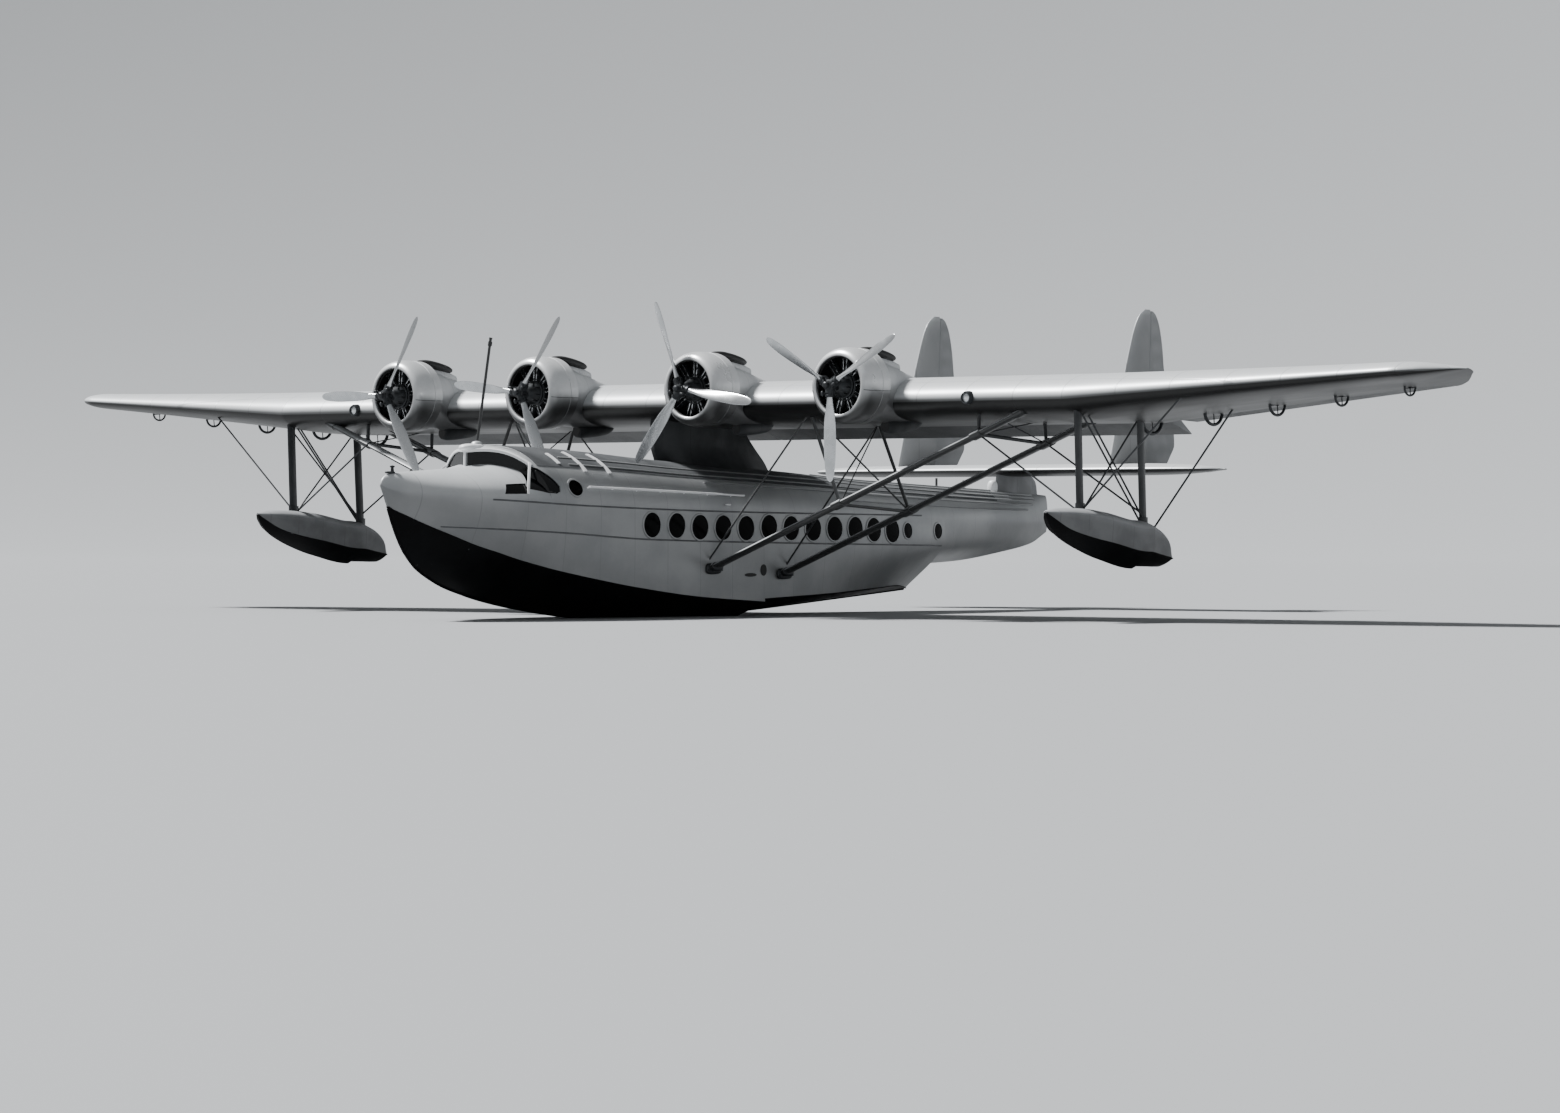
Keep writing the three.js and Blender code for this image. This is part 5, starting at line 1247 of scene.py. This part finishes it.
propeller = {
    "hubY": -0.215,
    "blades": [  # radius, chord, thickness, pitch
        (0.06, 0.105, 0.105, 60), (0.20, 0.108, 0.104, 57), (0.33, 0.130, 0.080, 52), (0.50, 0.172, 0.062, 45),
        (0.70, 0.210, 0.050, 37), (1.00, 0.222, 0.037, 30), (1.25, 0.220, 0.028, 24), (1.62, 0.160, 0.016, 18),
        (1.71, 0.105, 0.011, 17.4), (1.74, 0.060, 0.009, 17), (1.75, 0.025, 0.008, 17)],
    "runs": ((0.06, 1.62, 34), (1.65, 1.75, 8)),
    # share by which a section thins behind its middle, and the radius from which, and run over which, it sets in
    "tail": 0.35, "tailRun": (0.25, 0.4),
    # profiles of (way along the axis, radius)
    "barrel": [(0.085, 0.0), (0.085, 0.085), (0.06, 0.11), (-0.05, 0.11), (-0.06, 0.085), (-0.085, 0.078),
               (-0.09, 0.060), (-0.15, 0.058), (-0.165, 0.040), (-0.17, 0.0)],
    "clamp": [(0.07, 0.0), (0.07, 0.080), (0.14, 0.080), (0.145, 0.070), (0.17, 0.070), (0.175, 0.078),
              (0.215, 0.078), (0.22, 0.060), (0.22, 0.0)],
    "bolts": (((-0.092, -0.030, 0.085), (-0.072, 0.030, 0.205)), ((0.072, -0.030, 0.085), (0.092, 0.030, 0.205))),
    "arm": ((0.052, -0.02, 0.16), (0.075, -0.125, 0.14), 0.04, 0.026),
    "weight": ((0.078, -0.125, 0.155), (0.026, 0.026, 0.045)),
}


def ovalPart(stations, x, count=24, rows=None):
    # a run of upright ovals, each between its bottom and top
    stations = np.asarray(stations, float)
    rows = stations if rows is None else np.column_stack([rows, throughRows(stations, rows)])
    turn = fullTurn(count)[None, :]
    y, half, top, low = (rows[:, k:k + 1] for k in range(4))
    return loftPart(pile(x + half * np.cos(turn), y, (top + low) / 2 + (top - low) / 2 * np.sin(turn)))


def turnAbout(part, place, turn):
    # the part carried round the Y axis through place
    c, s = math.cos(turn), math.sin(turn)
    x, y, z = part["points"].T
    return {**part, "points": np.stack([x * c + z * s, y, z * c - x * s], -1) + place}


def cylinderParts():
    # one cylinder along +Z at the origin: finned barrel, finned head, rocker boxes, pushrod tubes and ignition leads
    e, y = engine, engine["cylinderY"]
    fins = np.arange(e["fins"])[:, None]
    height = e["finRoot"] + fins * e["finPitch"] + np.array(e["finRise"])
    radius = np.where(fins < e["barrelFins"], *e["finRadii"]) - e["finDeep"] * np.array([1, 0, 0, 1])
    profile = np.concatenate([e["headFoot"], np.stack([height, radius], -1).reshape(-1, 2), e["headTop"]])
    barrel = turnedPart(profile, (0, y, 0), (0, 0, 1), 20)
    x, ahead, high = e["rocker"]
    boxes = [roundPart((side * x, y - ahead, high), e["rockerReach"], 0.5, 8) for side in (-1, 1)]
    route = lambda key, side: [(side * x, y - ahead, high) for x, ahead, high in e[key]]
    rods = [rodPart(*route("pushrod", side), e["pushrodWide"], sides=8) for side in (-1, 1)]
    leads = [tubePart(alongPath(route("lead", side), 9), e["leadRadius"], 6) for side in (-1, 1)]
    return [barrel] + boxes, rods, leads


def bladePart():
    # one blade along +Z: sections with a round nose and thin tail, turned to the pitch of each radius
    rows = np.concatenate([np.linspace(*run) for run in propeller["runs"]])
    chord, thick, pitch = throughRows(propeller["blades"], rows).T
    turn = fullTurn(24)[None, :]
    start, run = propeller["tailRun"]
    taper = np.clip((rows - start) / run, 0, 1)[:, None]
    c = np.cos(turn) * chord[:, None] / 2
    t = np.sin(turn) * thick[:, None] / 2 * (1 - propeller["tail"] * taper * (np.cos(turn) < 0) * np.cos(turn) ** 2)
    p = np.radians(pitch)[:, None]
    x, y = t * np.sin(p) - c * np.cos(p), t * np.cos(p) + c * np.sin(p)
    return loftPart(pile(x, y, rows[:, None]))


def hubParts():
    # barrel on the shaft, a clamp round each blade root with its bolts, and counterweight arms
    barrel = turnedPart(propeller["barrel"], (0, 0, 0), sides=32)
    clamp = [turnedPart(propeller["clamp"], (0, 0, 0), (0, 0, 1), 24)]
    clamp += [boxPart(*corners) for corners in propeller["bolts"]]
    clamp += [rodPart(*propeller["arm"], 8), roundPart(*propeller["weight"], 0.6, 8)]
    return barrel, clamp


def makeEngine(number, x, startTurn):
    e, place, hub = engine, (x, 0.0, engine["thrustZ"]), (x, propeller["hubY"], engine["thrustZ"])
    heads, rods, leads = cylinderParts()
    about = [math.radians(360 / e["cylinders"] * n) for n in range(e["cylinders"])]
    turns = [math.radians(startTurn + 120 * n) for n in range(3)]
    allRound = lambda parts: [turnAbout(part, place, a) for a in about for part in parts]
    turned = lambda key, sides, closed=True: turnedPart(e[key], place, sides=sides, closed=closed)
    oval = lambda key, count, rows: ovalPart(e[key], x, count, np.linspace(e[key][0][0], e[key][-1][0], rows))
    ring = turnedPart(e["outer"] + e["inner"], place, sides=96, closed=True)
    proud, wide = e["strip"]
    strip = tubePart([(0.0, y, r + proud) for y, r in e["outer"][2:]], wide, 6, up=(1, 0, 0))
    aft, out, wide = e["bolt"]
    bolt = rodPart((0.0, 0.0, out), (0.0, aft, out), wide, sides=6, wide=(0, 0, 1))
    block = [turned("nose", 40, False), turned("harness", 48), turned("rear", 24, False)]
    block += [turnAbout(bolt, place, a + e["boltTurn"]) for a in about]
    pieces = [
        ("cowl_strip", [turnAbout(strip, place, math.radians(side * e["stripTurn"])) for side in (-1, 1)],
         "grey strut enamel", "cowl_metal"),
        ("cowl_lining", [turned("liner", 64)], "sooted steel", "engine_metal"),
        ("engine_block", block + allRound(heads), "dark enamelled iron", "engine_metal", "root",
         [f"engine_{number}"]),
        ("engine_baffle", [turned("baffle", 48)], "sooted steel", "engine_metal"),
        ("pushrod_tubes", allRound(rods), "ground blade aluminium", "engine_metal"),
        ("ignition_leads", allRound(leads), "drawn steel wire", "engine_metal"),
        ("nacelle_skin", [oval("nacelle", 48, 30), oval("stem", 20, 12)], "oily aluminium paint on nacelle sheet",
         "silver_paint", "root", [f"nacelle_{number}"]),
        ("cooler_scoop", [oval("scoop", 24, 16)], "sooted aluminium paint", "silver_paint"),
        ("exhaust_outlet", [oval("outlet", 24, 20)], "sooted steel", "engine_metal"),
        ("scoop_mouth", [ovalPart(e["mouth"], x, 24)], "sooted steel", "engine_metal"),
        ("propeller_blades", [turnAbout(bladePart(), hub, a) for a in turns], "ground blade aluminium",
         "propeller_metal", f"propeller_{number}", [f"propeller_{number}"]),
    ]
    makePiece(f"cowl_skin_{number}", [ring], "polished cowl sheet", "cowl_metal",
              replaces=[f"cowl_{number}"], sharp=40)
    for name, *rest in pieces:
        makePiece(f"{name}_{number}", *rest)
    barrel, clamp = hubParts()
    makePiece(f"propeller_hub_{number}", [turnAbout(barrel, hub, 0.0)]
              + [turnAbout(part, hub, a) for a in turns for part in clamp],
              "dark enamelled iron", "engine_metal", f"propeller_{number}")


for number, x in enumerate(engine["x"], 1):
    makeEngine(number, x, engine["startTurn"][number - 1])
print("engines made")

# Struts and wires. Ends are (x, y, z) on the port side; the starboard ones are mirror images.
struts = {
    "chord": 0.29, "thick": 0.11,
    "front": ((1.42, 1.39, 0.915), (8.855, 1.45, 3.795)), "rear": ((1.42, 3.46, 0.805), (8.95, 3.33, 3.64)),
    "joints": (0.42, 0.855), "post": 0.085, "tie": 0.07, "flat": 0.7, "wire": 0.024, "cable": 0.036,
    # sleeve: half length and growth; shoe: way from and to the strut's end, and growth
    "sleeve": (0.11, 0.05), "hullShoe": (0.02, 0.16, 0.05), "wingShoe": (0.22, 0.02, 0.03),
    "tops": ((3.79, 1.45, 3.85), (3.90, 3.33, 3.66), (7.78, 1.45, 3.85), (7.83, 3.33, 3.66)),
    "feet": ((1.40, 1.29, 1.05), (1.40, 3.56, 0.95)), "floatEnds": ((9.96, 1.53, 1.98), (9.91, 3.42, 1.98)),
}


def strutPoint(name, share):
    start, end = (np.asarray(p, float) for p in struts[name])
    return start + (end - start) * share


def foilRod(start, end, chord, thick, grow=0.0):
    return rodPart(start, end, chord + grow, thick + grow, 24, (0, 1, 0), 0.45)


def makeStruts():
    for name in ("front", "rear"):
        start, end = (np.asarray(p, float) for p in struts[name])
        way, (half, more) = unit(end - start), struts["sleeve"]
        runs = [(start, end, 0.0)]
        runs += [(p - way * half, p + way * half, more) for p in (strutPoint(name, j) for j in struts["joints"])]
        low, high, more = struts["hullShoe"]
        runs.append((start + way * low, start + way * high, more))
        low, high, more = struts["wingShoe"]
        runs.append((end - way * low, end - way * high, more))
        parts = [foilRod(a, b, struts["chord"], struts["thick"], grow) for a, b, grow in runs]
        makePair(f"lift_strut_skin_{name}", parts, "grey strut enamel", "strut_paint",
                 replaces=[f"lift_strut_{name}"])
    post = lambda a, b: rodPart(a, b, struts["post"], struts["post"] * struts["flat"], 12, (0, 1, 0), 0.3)
    tie = lambda a, b: rodPart(a, b, struts["tie"], struts["tie"] * struts["flat"], 12, (0, 0, 1))
    tops, feet, wide = struts["tops"], struts["feet"], struts["cable"]
    (f1, r1), (f2, r2) = ([strutPoint(name, joint) for name in ("front", "rear")] for joint in struts["joints"])
    stays = [rodPart(a, b, wide, sides=8) for a, b in ((feet[0], tops[0]), (feet[1], tops[1]), (r1, tops[0]))]
    makePair("jury_posts_inner", [post(f1, tops[0]), post(r1, tops[1]), tie(f1, r1)] + stays,
             "grey strut enamel", "strut_paint", replaces=["jury_frame_inner"])
    cables = [wirePart(a, b, wide) for a, b in zip((f2, r2), struts["floatEnds"])]
    makePair("jury_posts_outer", [post(f2, tops[2]), post(r2, tops[3]), tie(f2, r2)] + cables,
             "strut enamel darkened as painted shade", "strut_paint", replaces=["jury_frame_outer"])
    crossing = [wirePart(a, b, struts["wire"]) for a, b in ((f1, tops[1]), (f2, tops[3]), (r2, tops[2]))]
    makePair("jury_wires", crossing, "drawn steel wire", "strut_paint")


makeStruts()

# Wing floats with their trusses of two posts, crossed wires and wires out to the wing
float_ = {
    "x": 10.0,
    "rows": [  # y, keel z, chine half, chine z, deck half, edge z, deck z
        (0.51, 1.935, 0.02, 1.95, 0.025, 1.965, 1.985), (0.62, 1.74, 0.11, 1.85, 0.13, 1.95, 2.01),
        (0.94, 1.50, 0.24, 1.65, 0.27, 1.93, 2.04), (1.45, 1.29, 0.34, 1.51, 0.37, 1.89, 2.035),
        (2.02, 1.13, 0.39, 1.41, 0.42, 1.80, 1.985), (3.08, 0.95, 0.40, 1.25, 0.42, 1.66, 1.83),
        (3.081, 0.99, 0.40, 1.25, 0.42, 1.66, 1.83), (3.50, 0.985, 0.36, 1.195, 0.375, 1.56, 1.72),
        (3.70, 0.98, 0.335, 1.165, 0.345, 1.47, 1.61), (3.84, 0.98, 0.315, 1.145, 0.31, 1.36, 1.48),
        (3.90, 0.98, 0.305, 1.135, 0.285, 1.26, 1.34), (3.92, 0.985, 0.30, 1.13, 0.27, 1.19, 1.235)],
    "runs": ((0.51, 0.62, 8), (0.66, 3.08, 40), (3.081, 3.081, 1), (3.13, 3.92, 18)), "lip": 0.012, "flare": 0.12,
    "post": (0.215, 0.075),
    "posts": (((10.0, 1.45, 3.95), (10.0, 1.53, 1.85)), ((10.0, 3.33, 3.80), (9.99, 3.44, 1.60))),
    "shoe": (0.02, 0.28, 0.05),  # height from and to over the post's foot, and growth
    "plate": ((10.0, 3.33, 1.755), (10.0, 3.72, 1.60), 0.12, 0.03),
    "pads": (((10.0, 1.50, 3.86), (10.0, 3.37, 3.66)), (0.10, 0.16, 0.05)),
    "wires": (((12.35, 1.51, 4.10), (10.0, 1.56, 1.99)), ((12.16, 3.33, 3.95), (10.0, 3.68, 1.62)),
              ((9.98, 1.49, 3.85), (9.98, 3.40, 1.74)), ((10.02, 1.61, 3.85), (10.02, 3.50, 1.72)),
              ((10.0, 3.27, 3.65), (10.0, 1.59, 1.99))),
}


def floatRings(y, half):
    # "upper" runs from chine over the deck, "lower" from chine to keel
    keel, chine, chineZ, deck, edge, top = throughRows(float_["rows"], y).T[:, :, None]
    if half == "upper":
        turn = np.linspace(0, np.pi / 2, 12)[None, :]
        side = np.linspace(0, 1, 5)[None, :-1]
        x = np.concatenate([chine + (deck - chine) * side, deck * np.cos(turn)], 1)
        z = np.concatenate([chineZ + (edge - chineZ) * side, edge + (top - edge) * np.sin(turn)], 1)
        x, z = np.concatenate([x, -x[:, -2::-1]], 1), np.concatenate([z, z[:, -2::-1]], 1)
    else:
        t = np.linspace(0, 1, 8)[None, :]
        x, z = chine * t, keel + (chineZ - keel) * (t - float_["flare"] * np.sin(np.pi * t))
        x, z = np.concatenate([x[:, ::-1], -x[:, 1:]], 1), np.concatenate([z[:, ::-1], z[:, 1:]], 1)
    return loftPart(pile(float_["x"] + x, y[:, None], z))


def makeFloats():
    y = np.concatenate([np.linspace(*run) for run in float_["runs"]])
    chine, chineZ = throughRows(float_["rows"], y)[:, 1:3].T
    lips = [tubePart(np.column_stack([float_["x"] + side * chine, y, chineZ]), float_["lip"], 6) for side in (-1, 1)]
    makePair("float_skin", [floatRings(y, "upper")], "dulled aluminium paint on float sheet", "silver_paint",
             replaces=["float"])
    makePair("float_bottom", [floatRings(y, "lower")] + lips, "black bottom paint", "black_paint")
    low, high, more = float_["shoe"]
    start, end, *wide = float_["plate"]
    places, reach = float_["pads"]
    parts = [foilRod(a, b, *float_["post"]) for a, b in float_["posts"]]
    parts += [foilRod(np.array(b) + (0, 0, low), np.array(b) + (0, 0, high), *float_["post"], more)
              for _, b in float_["posts"]]
    parts += [rodPart(start, end, *wide, 8, (0, 0, 1))] + [roundPart(place, reach, 0.7, 10) for place in places]
    parts += [wirePart(a, b, struts["cable"]) for a, b in float_["wires"]]
    makePair("float_posts", parts, "strut enamel darkened as painted shade", "strut_paint", replaces=["float_truss"])


makeFloats()

# Radio mast: a streamlined pole with a collar and a cap near its top
mast = {
    "foot": (0.0, -3.56, 3.10), "top": (0.0, -3.17, 5.18), "wide": (0.062, 0.048),
    # collars: share of the height from and to, widths
    "collars": ((0.93, 0.965, 0.085, 0.075), (0.99, 1.0, 0.075, 0.06)),
    "shoe": ((0, -3.54, 3.19), (0.09, 0.12, 0.09)),
}


def makeMast():
    foot, top = (np.asarray(mast[key]) for key in ("foot", "top"))
    way = top - foot
    parts = [rodPart(foot, top, *mast["wide"], 16, tail=0.3)]
    parts += [rodPart(foot + way * low, foot + way * high, *wide, 12) for low, high, *wide in mast["collars"]]
    makePiece("mast_pole", parts, "grey strut enamel", "strut_paint", replaces=["radio_mast"])
    makePiece("mast_shoe", [roundPart(*mast["shoe"], 0.8, 12)], "aluminium paint on hull sheet", "silver_paint")


makeMast()
print("struts, floats and mast made")
